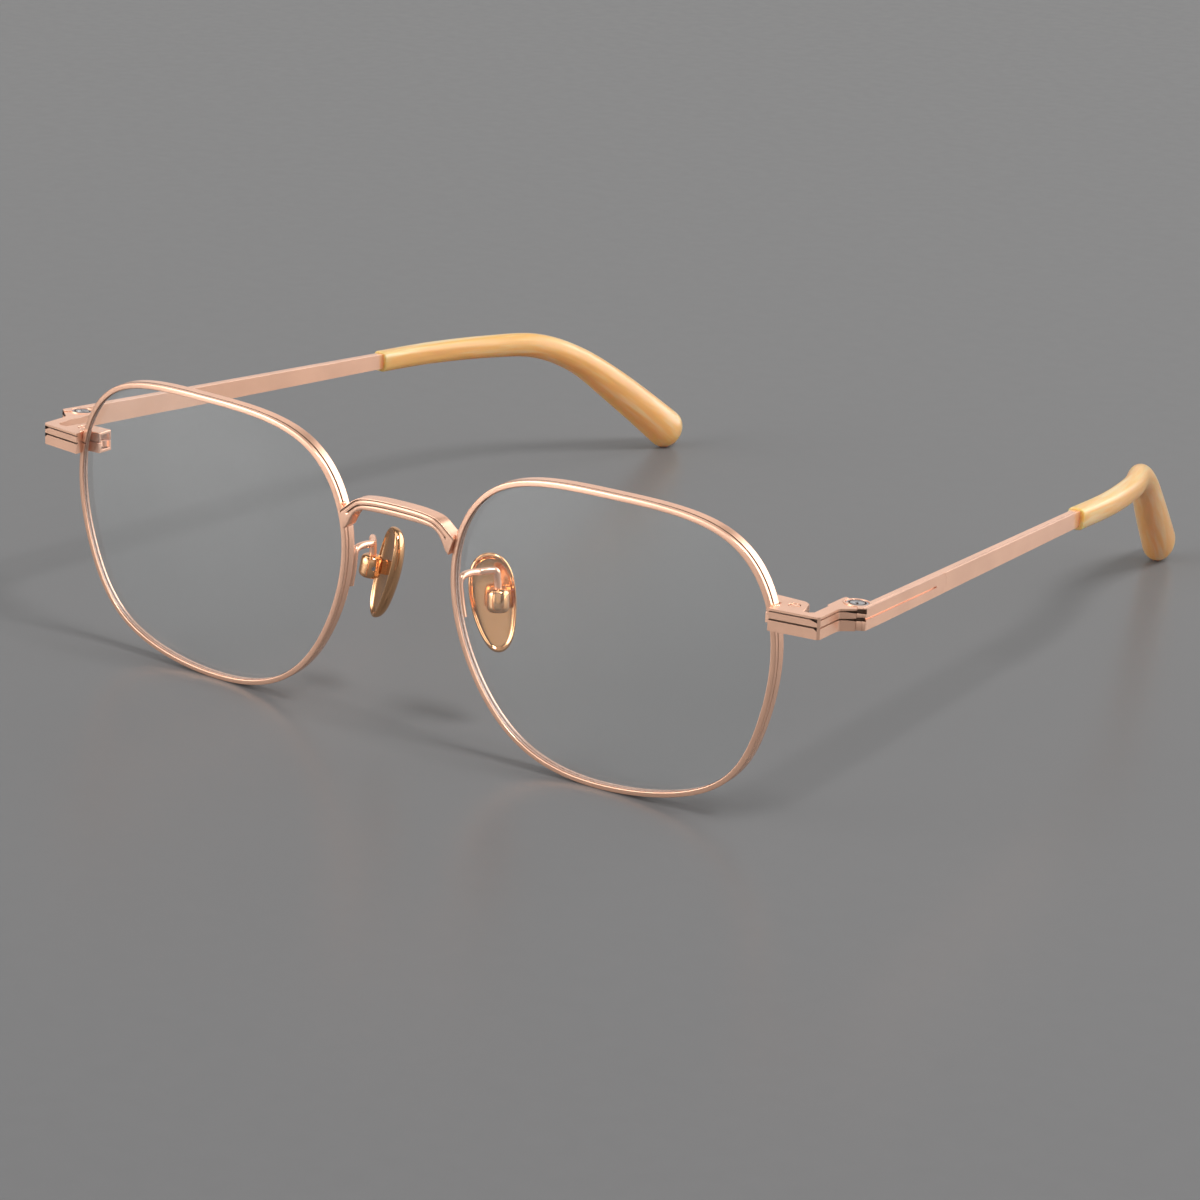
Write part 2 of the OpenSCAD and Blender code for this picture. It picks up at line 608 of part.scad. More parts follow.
// Share of the outline and height of each ring, from the dome's middle round the edge into the dish
pad_steps = [[0.08, pad_dome], [0.45, pad_dome - 0.1], [0.74, pad_dome - 0.35], [0.9, pad_dome - 0.7],
    [0.98, edge_t], [1, edge_t / 2], [0.98, 0.12], [0.94, 0], [0.89, 0.1], [0.8, pad_dish - 0.2],
    [0.45, pad_dish - 0.03], [0.08, pad_dish]];
tongue_t = 0.8;
tongue_r = 0.7;
tongue_foot = box_off + pad_dish + 0.1;
pin_room = 0.03;
module nose_pad() {
    difference() {
        union() {
            tube([for (s = pad_steps)
                [for (i = [0 : pad_rings - 1])
                    let (p = pad_shift + curve_at(pad_outline, len(pad_outline) * i / pad_rings) * s[0])
                    [p.x, p.y, box_off + s[1]]]]);
            // Tongue with an eye for the pin
            rotate([0, -90, 0])
                translate([0, 0, -tongue_t / 2]) {
                    linear_extrude(tongue_t)
                        polygon([[tongue_foot, -1], [tongue_foot, 1], [0, tongue_r], [0, -tongue_r]]);
                    cylinder(r = tongue_r, h = tongue_t, $fn = bore_sides);
                }
        }
        rotate([0, -90, 0])
            translate([0, 0, -2]) cylinder(r = pad_pin_r + pin_room, h = 4, $fn = bore_sides);
    }
}
// The pad box stands upright behind the dish
slot_half = 1.3;
box_round = 0.8;
module pad_box() {
    difference() {
        rotate([-90, 0, 0])
            translate([0, 0, -box_h / 2])
                rotate_extrude($fn = bore_sides)
                    polygon(concat([[0, 0]],
                        [for (a = [0 : 22.5 : 90])
                            [box_r - box_round + box_round * sin(a), box_round - box_round * cos(a)]],
                        [for (a = [0 : 22.5 : 90])
                            [box_r - box_round + box_round * cos(a), box_h - box_round + box_round * sin(a)]],
                        [[0, box_h]]));
        // Slot for the pad's tongue, open towards the pad
        translate([-tongue_t / 2 - fit, -slot_half, -tongue_r - 0.15])
            cube([tongue_t + 2 * fit, 2 * slot_half, box_off + 3]);
        rotate([0, -90, 0])
            translate([0, 0, -3]) cylinder(r = pad_pin_r + 0.01, h = 6, $fn = bore_sides);
    }
}
module pad_pin() {
    rotate([0, -90, 0])
        translate([0, 0, -box_r + 0.1]) cylinder(r = pad_pin_r, h = 2 * box_r - 0.2, $fn = bore_sides);
}

// Pad arm: from its solder joint on the back of the rim, up, back over and down into the box
solder_low = 5.56;
solder_high = 5.24;
function rim_back(t) = on_face(curve_offset(outline, t, 0.1), rim_depth + wire_r - 0.12);
arm_bend = rim_back(solder_high);
arm_end = box_axis(box_h / 2 - 0.35);
arm_line = [rim_back(solder_low), rim_back((solder_low + solder_high) / 2), arm_bend,
    arm_bend + [0, 0.55, 0.7], arm_bend + [-0.05, 2, 0.8], arm_bend + [0.05, 4, 0.5],
    arm_end + [-0.8, -1.1, 3], arm_end + [-0.2, -0.3, 2.8], arm_end + [-0.1, -0.05, 1.5], arm_end];
arm_sides = 10;
arm_rings = 45;
function arm_ring(t) =
    let (h = 0.02, n = len(arm_line) - 1,
        dir = unit(through(arm_line, min(t + h, n)) - through(arm_line, max(t - h, 0))),
        side = unit(cross(dir, [0.9, -0.3, 0.2])), up = cross(side, dir), mid = through(arm_line, t))
    [for (k = [0 : arm_sides - 1]) let (a = 360 * k / arm_sides)
        mid + (side * cos(a) + up * sin(a)) * wire_r];
module pad_arm() {
    tube([for (i = [0 : arm_rings]) arm_ring((len(arm_line) - 1) * i / arm_rings)]);
}

// The origin lies under the middle of the footprint
footprint_mid = 69.526;
module placed() {
    translate([0, -footprint_mid, 0]) children();
}
module left() { placed() children(); }
module right() { placed() mirror([1, 0, 0]) children(); }

module left_rim() { color(rose_gold) left() rim(); }
module right_rim() { color(rose_gold) right() rim(); }
module left_lens() { color(clear_glass) left() lens(); }
module right_lens() { color(clear_glass) right() lens(); }
module bridge() { color(rose_gold) placed() bridge_bar(); }
module left_end_piece() { color(rose_gold) left() hinge_frame() end_piece(); }
module right_end_piece() { color(rose_gold) right() hinge_frame() end_piece(); }
module left_upper_rim_lock() { color(rose_gold) left() hinge_frame() front_frame() upper_lock(); }
module right_upper_rim_lock() { color(rose_gold) right() hinge_frame() front_frame() upper_lock(); }
module left_lower_rim_lock() { color(rose_gold) left() hinge_frame() front_frame() lower_lock(); }
module right_lower_rim_lock() { color(rose_gold) right() hinge_frame() front_frame() lower_lock(); }
module left_rim_screw() { color(steel) left() hinge_frame() front_frame() rim_screw(); }
module right_rim_screw() { color(steel) right() hinge_frame() front_frame() rim_screw(); }
module left_hinge_screw() { color(steel) left() hinge_frame() hinge_screw(); }
module right_hinge_screw() { color(steel) right() hinge_frame() hinge_screw(); }
module left_hinge_washers() { color(steel) left() hinge_frame() washers(); }
module right_hinge_washers() { color(steel) right() hinge_frame() washers(); }
module left_temple() { color(rose_gold) left() hinge_frame() temple(); }
module right_temple() { color(rose_gold) right() hinge_frame() temple(); }
module left_temple_plate() { color(rose_gold) left() hinge_frame() temple_plate(); }
module right_temple_plate() { color(rose_gold) right() hinge_frame() temple_plate(); }
module left_temple_tip() { color(honey) left() temple_tip(); }
module right_temple_tip() { color(honey) right() temple_tip(); }
module left_pad_arm() { color(rose_gold) left() pad_arm(); }
module right_pad_arm() { color(rose_gold) right() pad_arm(); }
module left_pad_box() { color(pad_gold) left() pad_frame() pad_box(); }
module right_pad_box() { color(pad_gold) right() pad_frame() pad_box(); }
module left_pad_pin() { color(steel) left() pad_frame() pad_pin(); }
module right_pad_pin() { color(steel) right() pad_frame() pad_pin(); }
module left_nose_pad() { color(pad_gold) left() pad_frame() nose_pad(); }
module right_nose_pad() { color(pad_gold) right() pad_frame() nose_pad(); }

left_rim();
right_rim();
left_lens();
right_lens();
bridge();
left_end_piece();
right_end_piece();
left_upper_rim_lock();
right_upper_rim_lock();
left_lower_rim_lock();
right_lower_rim_lock();
left_rim_screw();
right_rim_screw();
left_hinge_screw();
right_hinge_screw();
left_hinge_washers();
right_hinge_washers();
left_temple();
right_temple();
left_temple_plate();
right_temple_plate();
left_temple_tip();
right_temple_tip();
left_pad_arm();
right_pad_arm();
left_pad_box();
right_pad_box();
left_pad_pin();
right_pad_pin();
left_nose_pad();
right_nose_pad();
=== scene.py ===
"""Square eyeglasses with folding temples.

Builds the looks of a pair of metal eyeglasses round their packed solids: rims, lenses, bridge,
end pieces, hinges, temples, tips, nose pads and the stage. Lengths in the panel are millimetres.
"""

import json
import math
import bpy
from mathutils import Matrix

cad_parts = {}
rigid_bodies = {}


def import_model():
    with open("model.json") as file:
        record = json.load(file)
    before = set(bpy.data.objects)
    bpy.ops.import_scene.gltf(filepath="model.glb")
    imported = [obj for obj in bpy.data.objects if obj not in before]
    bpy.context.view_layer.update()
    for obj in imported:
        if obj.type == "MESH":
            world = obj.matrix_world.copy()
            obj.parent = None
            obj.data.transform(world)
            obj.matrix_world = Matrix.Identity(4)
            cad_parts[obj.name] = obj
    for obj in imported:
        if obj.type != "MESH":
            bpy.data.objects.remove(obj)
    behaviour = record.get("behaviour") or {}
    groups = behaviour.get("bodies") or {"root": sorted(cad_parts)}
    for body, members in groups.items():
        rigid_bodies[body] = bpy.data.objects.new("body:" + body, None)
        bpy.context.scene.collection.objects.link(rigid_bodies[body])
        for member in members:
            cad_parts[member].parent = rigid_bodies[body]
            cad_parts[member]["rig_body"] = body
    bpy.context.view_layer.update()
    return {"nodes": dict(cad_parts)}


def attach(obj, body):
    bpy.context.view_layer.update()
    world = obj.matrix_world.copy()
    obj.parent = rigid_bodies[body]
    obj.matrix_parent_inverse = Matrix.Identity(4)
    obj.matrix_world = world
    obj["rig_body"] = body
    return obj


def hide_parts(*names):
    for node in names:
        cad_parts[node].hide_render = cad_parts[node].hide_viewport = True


bl_info = {
    "name": "Square Eyeglasses",
    "version": (1, 0, 0),
    "blender": (4, 5, 0),
    "location": "View3D > Sidebar > Eyeglasses",
    "description": "Builds folding metal eyeglasses round their packed solids",
    "category": "Add Mesh",
}

import bmesh
import bpy
from bpy.props import FloatProperty, FloatVectorProperty, IntProperty, PointerProperty
from mathutils import Matrix, Vector
from mathutils.bvhtree import BVHTree

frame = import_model()

MM = 0.001
# Vertices nearer than this, in metres, are one vertex
SAME_SPOT = 1e-7
# The solids are drawn from the front of the face, and the row frame starts this far behind it
MID = 69.526
SIDES = (("left", 1), ("right", -1))

# Middle line of a rim round the lens's centre: control points of a closed curve
OUTLINE = ((23, -8), (26, 7), (19.5, 20.5), (0.5, 21), (-19.5, 20.5),
           (-26.5, 6.5), (-22.5, -8.5), (-14, -19), (0, -21), (17.5, -17.8))
# Outline of a nose pad round its own centre
PAD_OUTLINE = ((-4.5, -1), (-4, -7.2), (-0.2, -8.4), (2.6, -4), (4.6, 2), (3.4, 7.2),
               (-1.2, 7.6), (-3.9, 4.6))
# Width and height of the pad that this outline draws
PAD_DRAWN = (7.5, 13.8)
# Middle of the left pad's pin
PAD_PIN = (11.1, 8.85, 19.7)
# Places of the left solder beads, at the bridge and at the end piece
BEADS = ((9.75, 1.0, 31.0), (58.6, 2.75, 31.15))
# Plan of the left outer face in the hinge's frame: inner end, corner, start of the facet, seam with
# the temple and the temple's corner
FACE_END = (-7.43, -9.6)
CORNER = (-0.65, -8.69)
FACET = (0.1, -3.455)
SEAM = (1.4026, -2.4)
TEMPLE_CORNER = (2.39, -1.6)


def length(name, default, description, high=200.0):
    """A length in millimetres for the panel."""
    return FloatProperty(name=name, default=default, description=description, min=0.0, max=high,
                         precision=3)


def angle(name, degrees, description):
    """An angle for the panel, given here in degrees."""
    return FloatProperty(name=name, default=math.radians(degrees), description=description,
                         subtype="ANGLE")


def colour(name, default, description):
    """A colour for the panel."""
    return FloatVectorProperty(name=name, default=default, description=description, size=3,
                               subtype="COLOR", min=0.0, max=1.0)


class FaceSizes(bpy.types.PropertyGroup):
    """Sizes of the rims, lenses and bridge."""
    gap: length("Nose gap", 19.0, "Distance between the lenses over the nose")
    lens_w: length("Lens width", 49.0, "Width of one lens")
    centre_z: length("Lens centre", 20.42, "Height of the lens centres above the table")
    front_y: FloatProperty(name="Face", default=-1.6, description="Place of the face at the nose")
    curve_r: length("Face curve", 130.0, "Radius of the lenses' front curve", high=500.0)
    wrap: angle("Wrap", 2.4, "Angle by which each lens wraps back")
    lean: angle("Lean", 2.2, "Angle by which the face leans forward")
    wall: length("Rim wall", 0.75, "Wall of a rim, seen from the front")
    depth: length("Rim depth", 2.0, "Depth of a rim, from front to back")
    rim_round: length("Rim rounding", 0.13, "Rounding of a rim's edges")
    lens_thick: length("Lens thickness", 1.5, "Thickness of a lens")
    cut_turn: FloatProperty(name="Rim cut", default=1.17,
                            description="Where the rim is cut through, in control points")
    bridge_depth: length("Bridge depth", 2.2, "Depth of the bridge bar")
    bridge_front: FloatProperty(name="Bridge front", default=-0.303,
                                description="Place of the bridge's front face")
    bridge_round: length("Bridge rounding", 0.2, "Rounding of the bridge's edges")
    groove_depth: length("Groove depth", 0.3, "Depth of the grooves in the bridge")


class HingeSizes(bpy.types.PropertyGroup):
    """Sizes of the end pieces, rim locks and hinges."""
    x: length("Hinge side", 65.679, "Distance of a hinge screw from the middle")
    y: length("Hinge back", 10.725, "Distance of a hinge screw behind the face")
    z: length("Hinge height", 31.08, "Height of the hinge's top")
    slope: angle("Temple slope", 4.2, "Slope of the temples down towards the back")
    end_level: angle("End level", 3.4, "Angle by which an end piece lies flatter than its temple")
    toe_in: angle("Toe-in", 4.4, "Angle by which the temples close in towards the back")
    edge: length("Edge rounding", 0.07, "Rounding of the small metal edges")
    screw_edge: length("Screw rounding", 0.05, "Rounding of the screw heads")
    end_in: length("End piece start", 58.27, "Where an end piece starts, inside the rim")
    bead: length("Solder bead", 0.34, "Radius of a solder bead")


class TempleSizes(bpy.types.PropertyGroup):
    """Sizes of the temple bars and tips."""
    line_w: length("Layer line", 0.05, "Width of the line along a bar's top")
    line_in: length("Layer depth", 0.4, "Distance of that line from the bar's outer face")
    bar_len: length("Bar length", 67.7, "Length of the bar behind the hinge screw")
    straight: length("Tip straight", 33.0, "Length of a tip from its mouth to its bend")
    droop: length("Tip droop", 25.6, "Length of a tip's drooping part")
    rings: IntProperty(name="Tip rings", default=120, min=24, max=400,
                       description="Rings along a temple tip")


class PadSizes(bpy.types.PropertyGroup):
    """Sizes of the nose pads and their arms."""
    width: length("Pad width", 5.9, "Width of a nose pad")
    height: length("Pad height", 12.6, "Height of a nose pad")
    dome: length("Pad dome", 2.2, "Height of a pad's face")
    dish: length("Pad dish", 0.6, "Depth of the dish in a pad's back")
    off: length("Pad distance", 1.6, "Distance of a pad's edge from its pin")
    wire: length("Arm wire", 0.5, "Radius of the pad arm's wire")
    turn: angle("Pad turn", 37.5, "Turn of a pad, seen from above")
    tilt: angle("Pad tilt", 11, "Lean of a pad's top towards the nose")


class Finishes(bpy.types.PropertyGroup):
    """Colours of the glasses and the stage."""
    rose: colour("Rose gold", (0.95, 0.565, 0.395), "Colour of the polished frame")
    gold: colour("Pad gold", (0.76, 0.42, 0.215), "Colour of the nose pads")
    steel: colour("Screw steel", (0.55, 0.54, 0.55), "Colour of the screws")
    honey: colour("Honey", (0.89, 0.48, 0.165), "Colour of the temple tips")
    cream: colour("Cream", (0.88, 0.60, 0.32), "Colour of the tips' pale streaks")
    floor: colour("Floor", (0.16, 0.16, 0.162), "Colour of the floor")


# Curves and faces

def curve_at(points, t):
    """A point on the closed curve of these control points, at t from 0 to their number."""
    n = len(points)
    i = math.floor(t)
    f = t - i
    a, b, c, d = (points[(i + k) % n] for k in (-1, 0, 1, 2))
    w = ((1 - f) ** 3, 3 * f ** 3 - 6 * f ** 2 + 4, -3 * f ** 3 + 3 * f ** 2 + 3 * f + 1, f ** 3)
    return tuple((a[k] * w[0] + b[k] * w[1] + c[k] * w[2] + d[k] * w[3]) / 6 for k in (0, 1))


def offset_at(points, t, off):
    """A point set off outwards from that curve."""
    p = curve_at(points, t)
    a = curve_at(points, t - 0.01)
    b = curve_at(points, t + 0.01)
    d = Vector((b[0] - a[0], b[1] - a[1])).normalized()
    return p[0] + d.y * off, p[1] - d.x * off


def through(points, t):
    """A point on the open curve through these points, at t from 0 to their number less one."""
    n = len(points) - 1
    i = min(int(t), n - 1)
    f = t - i
    a, b, c, d = (Vector(points[min(max(i + k, 0), n)]) for k in (-1, 0, 1, 2))
    return (b + (c - a) * f / 2 + (2 * a - 5 * b + 4 * c - d) * f * f / 2
            + (3 * b - a - 3 * c + d) * f * f * f / 2)


def on_face(face, u, v, back):
    """A point of the curved front: u and v lie on the face, back goes behind its front."""
    x = u + face.gap / 2 + face.lens_w / 2
    z = v + face.centre_z
    b = (u * u + v * v) / (2 * face.curve_r) + math.tan(face.wrap) * x + back
    return Vector((x, face.front_y + b * math.cos(face.lean) - z * math.sin(face.lean),
                   z * math.cos(face.lean) + b * math.sin(face.lean)))


def rounded(corners):
    """A closed section with round corners, from points (x, y, radius)."""
    out = []
    steps = 4
    n = len(corners)
    for i, (x, y, r) in enumerate(corners):
        p = Vector((x, y))
        a = Vector(corners[i - 1][:2]) - p
        b = Vector(corners[(i + 1) % n][:2]) - p
        if r <= 0:
            out.append(p)
            continue
        half = a.angle(b) / 2
        reach = min(r / math.tan(half), a.length * 0.48, b.length * 0.48)
        p0 = p + a.normalized() * reach
        p1 = p + b.normalized() * reach
        for k in range(steps + 1):
            f = k / steps
            out.append(p0 * (1 - f) ** 2 + p * 2 * f * (1 - f) + p1 * f * f)
    return out


def circle(radius, count):
    """Points (x, y) round a circle."""
    angles = (2 * math.pi * k / count for k in range(count))
    return [(radius * math.cos(a), radius * math.sin(a)) for a in angles]


def loft_faces(rings, points, ends=True):
    """Faces between rings of points, with flat ends."""
    faces = []
    for i in range(rings - 1):
        for j in range(points):
            k = (j + 1) % points
            above = (i + 1) * points
            faces.append((i * points + j, i * points + k, above + k, above + j))
    if ends:
        faces.append(tuple(range(points - 1, -1, -1)))
        faces.append(tuple(range((rings - 1) * points, rings * points)))
    return faces


# Pieces

def outward(mesh):
    """Turns a closed mesh's faces outwards and merges its doubles."""
    bm = bmesh.new()
    bm.from_mesh(mesh)
    bmesh.ops.remove_doubles(bm, verts=bm.verts, dist=SAME_SPOT)
    bmesh.ops.recalc_face_normals(bm, faces=bm.faces)
    bm.to_mesh(mesh)
    bm.free()


def show(name, mesh):
    """A new object with this mesh, at the origin."""
    obj = bpy.data.objects.new(name, mesh)
    bpy.context.scene.collection.objects.link(obj)
    return obj


def drawn(name, points, edges=(), faces=()):
    """A new object from points in metres."""
    mesh = bpy.data.meshes.new(name)
    mesh.from_pydata(points, edges, faces)
    return show(name, mesh)


def solid(name, points, faces, side=1):
    """A piece from points in millimetres, mirrored for the right side."""
    return closed(name, [row_point(p, side) for p in points], faces)


def closed(name, points, faces):
    """A piece from points in metres, with its faces turned outwards."""
    obj = drawn(name, points, faces=faces)
    outward(obj.data)
    return obj


def row_point(p, side):
    """A place on the left, in millimetres, as metres in the row frame on either side."""
    return p[0] * side * MM, (p[1] - MID) * MM, p[2] * MM


def applied(obj):
    """Turns a piece with modifiers into a plain mesh."""
    depsgraph = bpy.context.evaluated_depsgraph_get()
    mesh = bpy.data.meshes.new_from_object(obj.evaluated_get(depsgraph))
    obj.modifiers.clear()
    obj.data = mesh
    return obj


def smooth(obj, sharp):
    """Smooth shading that keeps flat faces flat, with sharp edges past an angle in degrees."""
    obj.data.polygons.foreach_set("use_smooth", [True] * len(obj.data.polygons))
    obj.data.set_sharp_from_angle(angle=math.radians(sharp))
    mod = obj.modifiers.new("Flat faces", "WEIGHTED_NORMAL")
    mod.keep_sharp = True
    applied(obj)


def finished(obj, node, main_finish="Rose gold", sharp=32):
    """Gives a piece its finish and its body, and lets it stand for a packed node."""
    smooth(obj, sharp)
    if not obj.data.materials:
        obj.data.materials.append(finish(main_finish))
    obj.data.materials[0] = finish(main_finish)
    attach(obj, frame["nodes"][node]["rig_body"])
    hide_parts(node)


def grooved(obj, reach=0.5, share=0.55, above=0.0):
    """Paints shade with the dark finish on faces above a height where enough rays soon meet the
    piece again, as in grooves and pockets.
    """
    if len(obj.data.materials) < 2:
        obj.data.materials.append(finish("Groove shade"))
    rays = 12
    near_normal = math.radians(35)
    far_off = math.radians(62)
    start = 0.002 * MM
    tree = BVHTree.FromPolygons([v.co for v in obj.data.vertices],
                                [tuple(p.vertices) for p in obj.data.polygons])
    for face in obj.data.polygons:
        if face.center.z < above * MM:
            continue
        n = face.normal
        a = n.orthogonal().normalized()
        b = n.cross(a)
        hits = 0
        for k in range(rays):
            turn = 2 * math.pi * k / rays
            tilt = near_normal if k % 2 else far_off
            ray = n * math.cos(tilt) + (a * math.cos(turn) + b * math.sin(turn)) * math.sin(tilt)
            hits += tree.ray_cast(face.center + n * start, ray, reach * MM)[0] is not None
        # Faces hemmed in by the piece get the painted shade
        if hits >= rays * share:
            face.material_index = 1


def copy_of(node, name, trim=None):
    """A merged copy of a packed node's mesh, its inner end trimmed at x where that is given."""
    mesh = frame["nodes"][node].data.copy()
    mesh.materials.clear()
    bm = bmesh.new()
    bm.from_mesh(mesh)
    bmesh.ops.remove_doubles(bm, verts=bm.verts, dist=SAME_SPOT)
    if trim:
        bmesh.ops.bisect_plane(bm, geom=bm.verts[:] + bm.edges[:] + bm.faces[:],
                               plane_co=(trim, 0, 0), plane_no=(-trim, 0, 0), clear_outer=True)
        bmesh.ops.holes_fill(bm, edges=[e for e in bm.edges if e.is_boundary])
    flat = math.radians(0.6)
    bmesh.ops.dissolve_limit(bm, angle_limit=flat, verts=bm.verts, edges=bm.edges)
    bm.to_mesh(mesh)
    bm.free()
    return show(name, mesh)


def bevelled(obj, width, segments=3):
    """Rounds a piece's sharp edges."""
    mod = obj.modifiers.new("Edges", "BEVEL")
    mod.width = width * MM
    mod.segments = segments
    mod.limit_method = "ANGLE"
    mod.angle_limit = math.radians(38)
    return applied(obj)


def combined(obj, tool, operation, materials="INDEX"):
    """Cuts, joins or intersects a closed mesh with a second one, which is used up."""
    mod = obj.modifiers.new("Combine", "BOOLEAN")
    mod.object = tool
    mod.operation = operation
    mod.solver = "EXACT"
    mod.material_mode = materials
    applied(obj)
    bpy.data.objects.remove(tool)


def cut(obj, tool):
    """Cuts one closed mesh from another, and paints shade on the cut's faces with the dark finish.
    """
    if not obj.data.materials:
        obj.data.materials.append(finish("Rose gold"))
        obj.data.materials.append(finish("Groove shade"))
    tool.data.materials.append(finish("Groove shade"))
    combined(obj, tool, "DIFFERENCE", "TRANSFER")


def hinge_matrix(side):
    """From the left hinge's own frame, in millimetres, to the row frame."""
    sizes = bpy.context.scene.glasses_hinge
    place = (Matrix.Translation((sizes.x, sizes.y - MID, sizes.z))
             @ Matrix.Rotation(-sizes.slope, 4, "X"))
    return Matrix.Diagonal((side * MM, MM, MM, 1)) @ place


def pad_matrix(side):
    """From the left pad's own frame, round its pin, to the row frame."""
    pads = bpy.context.scene.glasses_pads
    place = (Matrix.Translation((PAD_PIN[0], PAD_PIN[1] - MID, PAD_PIN[2]))
             @ Matrix.Rotation(pads.turn - math.pi / 2, 4, "Z")
             @ Matrix.Rotation(-pads.tilt, 4, "Y")
             @ Matrix.Rotation(-math.pi / 2, 4, "Z")
             @ Matrix.Rotation(math.pi / 2, 4, "X"))
    return Matrix.Diagonal((side * MM, MM, MM, 1)) @ place


def block(name, low, high, matrix):
    """A closed box between two corners, through a matrix."""
    (x0, y0, z0), (x1, y1, z1) = low, high
    plan = ((x0, y0), (x1, y0), (x1, y1), (x0, y1))
    points = [matrix @ Vector((x, y, z)) for z in (z0, z1) for x, y in plan]
    return closed(name, points, loft_faces(2, 4))


# Nodes

class Nodes:
    """Adds nodes to a tree, and links or sets their inputs."""

    def __init__(self, tree):
        self.tree = tree

    def add(self, kind, inputs=None, **settings):
        node = self.tree.nodes.new(kind)
        for key, value in settings.items():
            setattr(node, key, value)
        for key, value in (inputs or {}).items():
            self.put(node, key, value)
        return node

    def put(self, node, key, value):
        """Links a socket to an input, or sets the input's value."""
        if isinstance(value, bpy.types.NodeSocket):
            self.tree.links.new(value, node.inputs[key])
        else:
            node.inputs[key].default_value = value

    def mixed(self, share, first, second):
        """The first shader where the share is 0 and the second where it is 1."""
        return self.add("ShaderNodeMixShader", {0: share, 1: first, 2: second}).outputs[0]


# Materials

class Shader(Nodes):
    """Builds a material's nodes."""

    def __init__(self, name):
        self.material = bpy.data.materials.new(name)
        self.material.use_nodes = True
        super().__init__(self.material.node_tree)
        self.surface = self.tree.nodes["Principled BSDF"]

    def place(self, scale=(1, 1, 1)):
        """Object coordinates, scaled."""
        coords = self.add("ShaderNodeTexCoord").outputs["Object"]
        return self.add("ShaderNodeMapping", {"Vector": coords, "Scale": scale}).outputs["Vector"]

    def noise(self, vector, scale, detail):
        inputs = {"Vector": vector, "Scale": scale, "Detail": detail}
        return self.add("ShaderNodeTexNoise", inputs).outputs["Fac"]

    def spots(self, scale, detail=2.0):
        """Soft spots all over the piece."""
        return self.noise(self.place(), scale, detail)

    def clouded(self, tone, low, high, noise, start=0.3):
        """Lets the colour drift between a darker and a lighter tone."""
        stops = ((start, shade(tone, low)), (0.7, shade(tone, high)))
        self.set("Base Color", self.ramp(noise, stops))

    def span(self, value, low, high):
        return self.add("ShaderNodeMapRange", {"Value": value, "From Min": 0.3, "From Max": 0.7,
                                               "To Min": low, "To Max": high}).outputs["Result"]

    def ramp(self, value, stops):
        node = self.add("ShaderNodeValToRGB", {"Fac": value})
        items = node.color_ramp.elements
        for i, (at, tone) in enumerate(stops):
            item = items[i] if i < 2 else items.new(at)
            item.position = at
            item.color = (*tone, 1)
        return node.outputs["Color"]

    def bump(self, height, strength, distance):
        return self.add("ShaderNodeBump", {"Height": height, "Strength": strength,
                                           "Distance": distance}).outputs["Normal"]

    def set(self, name, value):
        self.put(self.surface, name, value)


def shade(tone, factor):
    """A colour made lighter or darker."""
    return tuple(min(1.0, c * factor) for c in tone)


def polished(name, tone, rough_low, rough_high, lines, metal):
    """Polished metal: soft cloudy tone, fine polishing lines and faint handling marks."""
    s = Shader(name)
    fine = s.noise(s.place((1500, 1500, 500)), 1.0, 1.0)
    s.clouded(tone, 0.94, 1.05, s.spots(160))
    s.set("Roughness", s.span(s.spots(500), rough_low, rough_high))
    s.set("Normal", s.bump(fine, lines, 0.002 * MM))
    s.set("Metallic", metal)
    return s.material


def painted_groove_shade(tone):
    """Painted shade: a very dark tone of the metal for faces in grooves and cuts, where shade falls.
    """
    s = Shader("Groove shade")
    s.clouded(tone, 0.10, 0.2, s.spots(900))
    s.set("Roughness", s.span(s.spots(1500), 0.4, 0.55))
    s.set("Metallic", 0.8)
    return s.material


def steel(tone):
    """Plain steel of the screws, with turning marks."""
    s = Shader("Screw steel")
    s.clouded(tone, 0.85, 1.1, s.spots(700), 0.35)
    s.set("Roughness", s.span(s.spots(2600), 0.24, 0.36))
    s.set("Metallic", 1.0)
    return s.material


def acetate(tone, pale):
    """Honey acetate with pale pearly streaks that follow the tip, under a polished skin."""
    s = Shader("Honey acetate")
    flow = s.add("ShaderNodeAttribute", attribute_name="flow").outputs["Vector"]
    drift = s.noise(flow, 1.1, 1.0)
    fine = s.noise(flow, 3.2, 2.0)
    blend = s.add("ShaderNodeMath", {0: drift, 1: fine}, operation="ADD").outputs[0]
    half = s.add("ShaderNodeMath", {0: blend, 1: 0.5}, operation="MULTIPLY").outputs[0]
    s.set("Base Color", s.ramp(half, ((0.34, shade(tone, 0.9)), (0.50, tone), (0.64, pale))))
    s.set("Roughness", s.span(s.spots(300), 0.29, 0.34))
    s.set("Subsurface Weight", 0.85)
    s.set("Subsurface Radius", (1.0, 0.6, 0.25))
    s.set("Subsurface Scale", 5 * MM)
    s.set("Coat Weight", 0.25)
    s.set("Coat Roughness", 0.16)
    return s.material


# A low index keeps the reflections as faint as on a coated lens
LENS_IOR = 1.34


def clear_lens():
    """A clear lens that lets the lamps' light through, with slight changes in its polish."""
    s = Shader("Clear lens")
    s.set("Base Color", (0.97, 0.985, 0.985, 1))
    s.set("Transmission Weight", 1.0)
    s.set("Roughness", s.span(s.spots(60), 0.0, 0.012))
    s.set("IOR", LENS_IOR)
    path = s.add("ShaderNodeLightPath")
    straight = s.add("ShaderNodeBsdfTransparent", {"Color": (0.97, 0.97, 0.97, 1)}).outputs[0]
    surface = s.surface.outputs[0]
    for ray in ("Is Shadow Ray", "Is Reflection Ray"):
        surface = s.mixed(path.outputs[ray], surface, straight)
    s.put(s.tree.nodes["Material Output"], "Surface", surface)
    return s.material


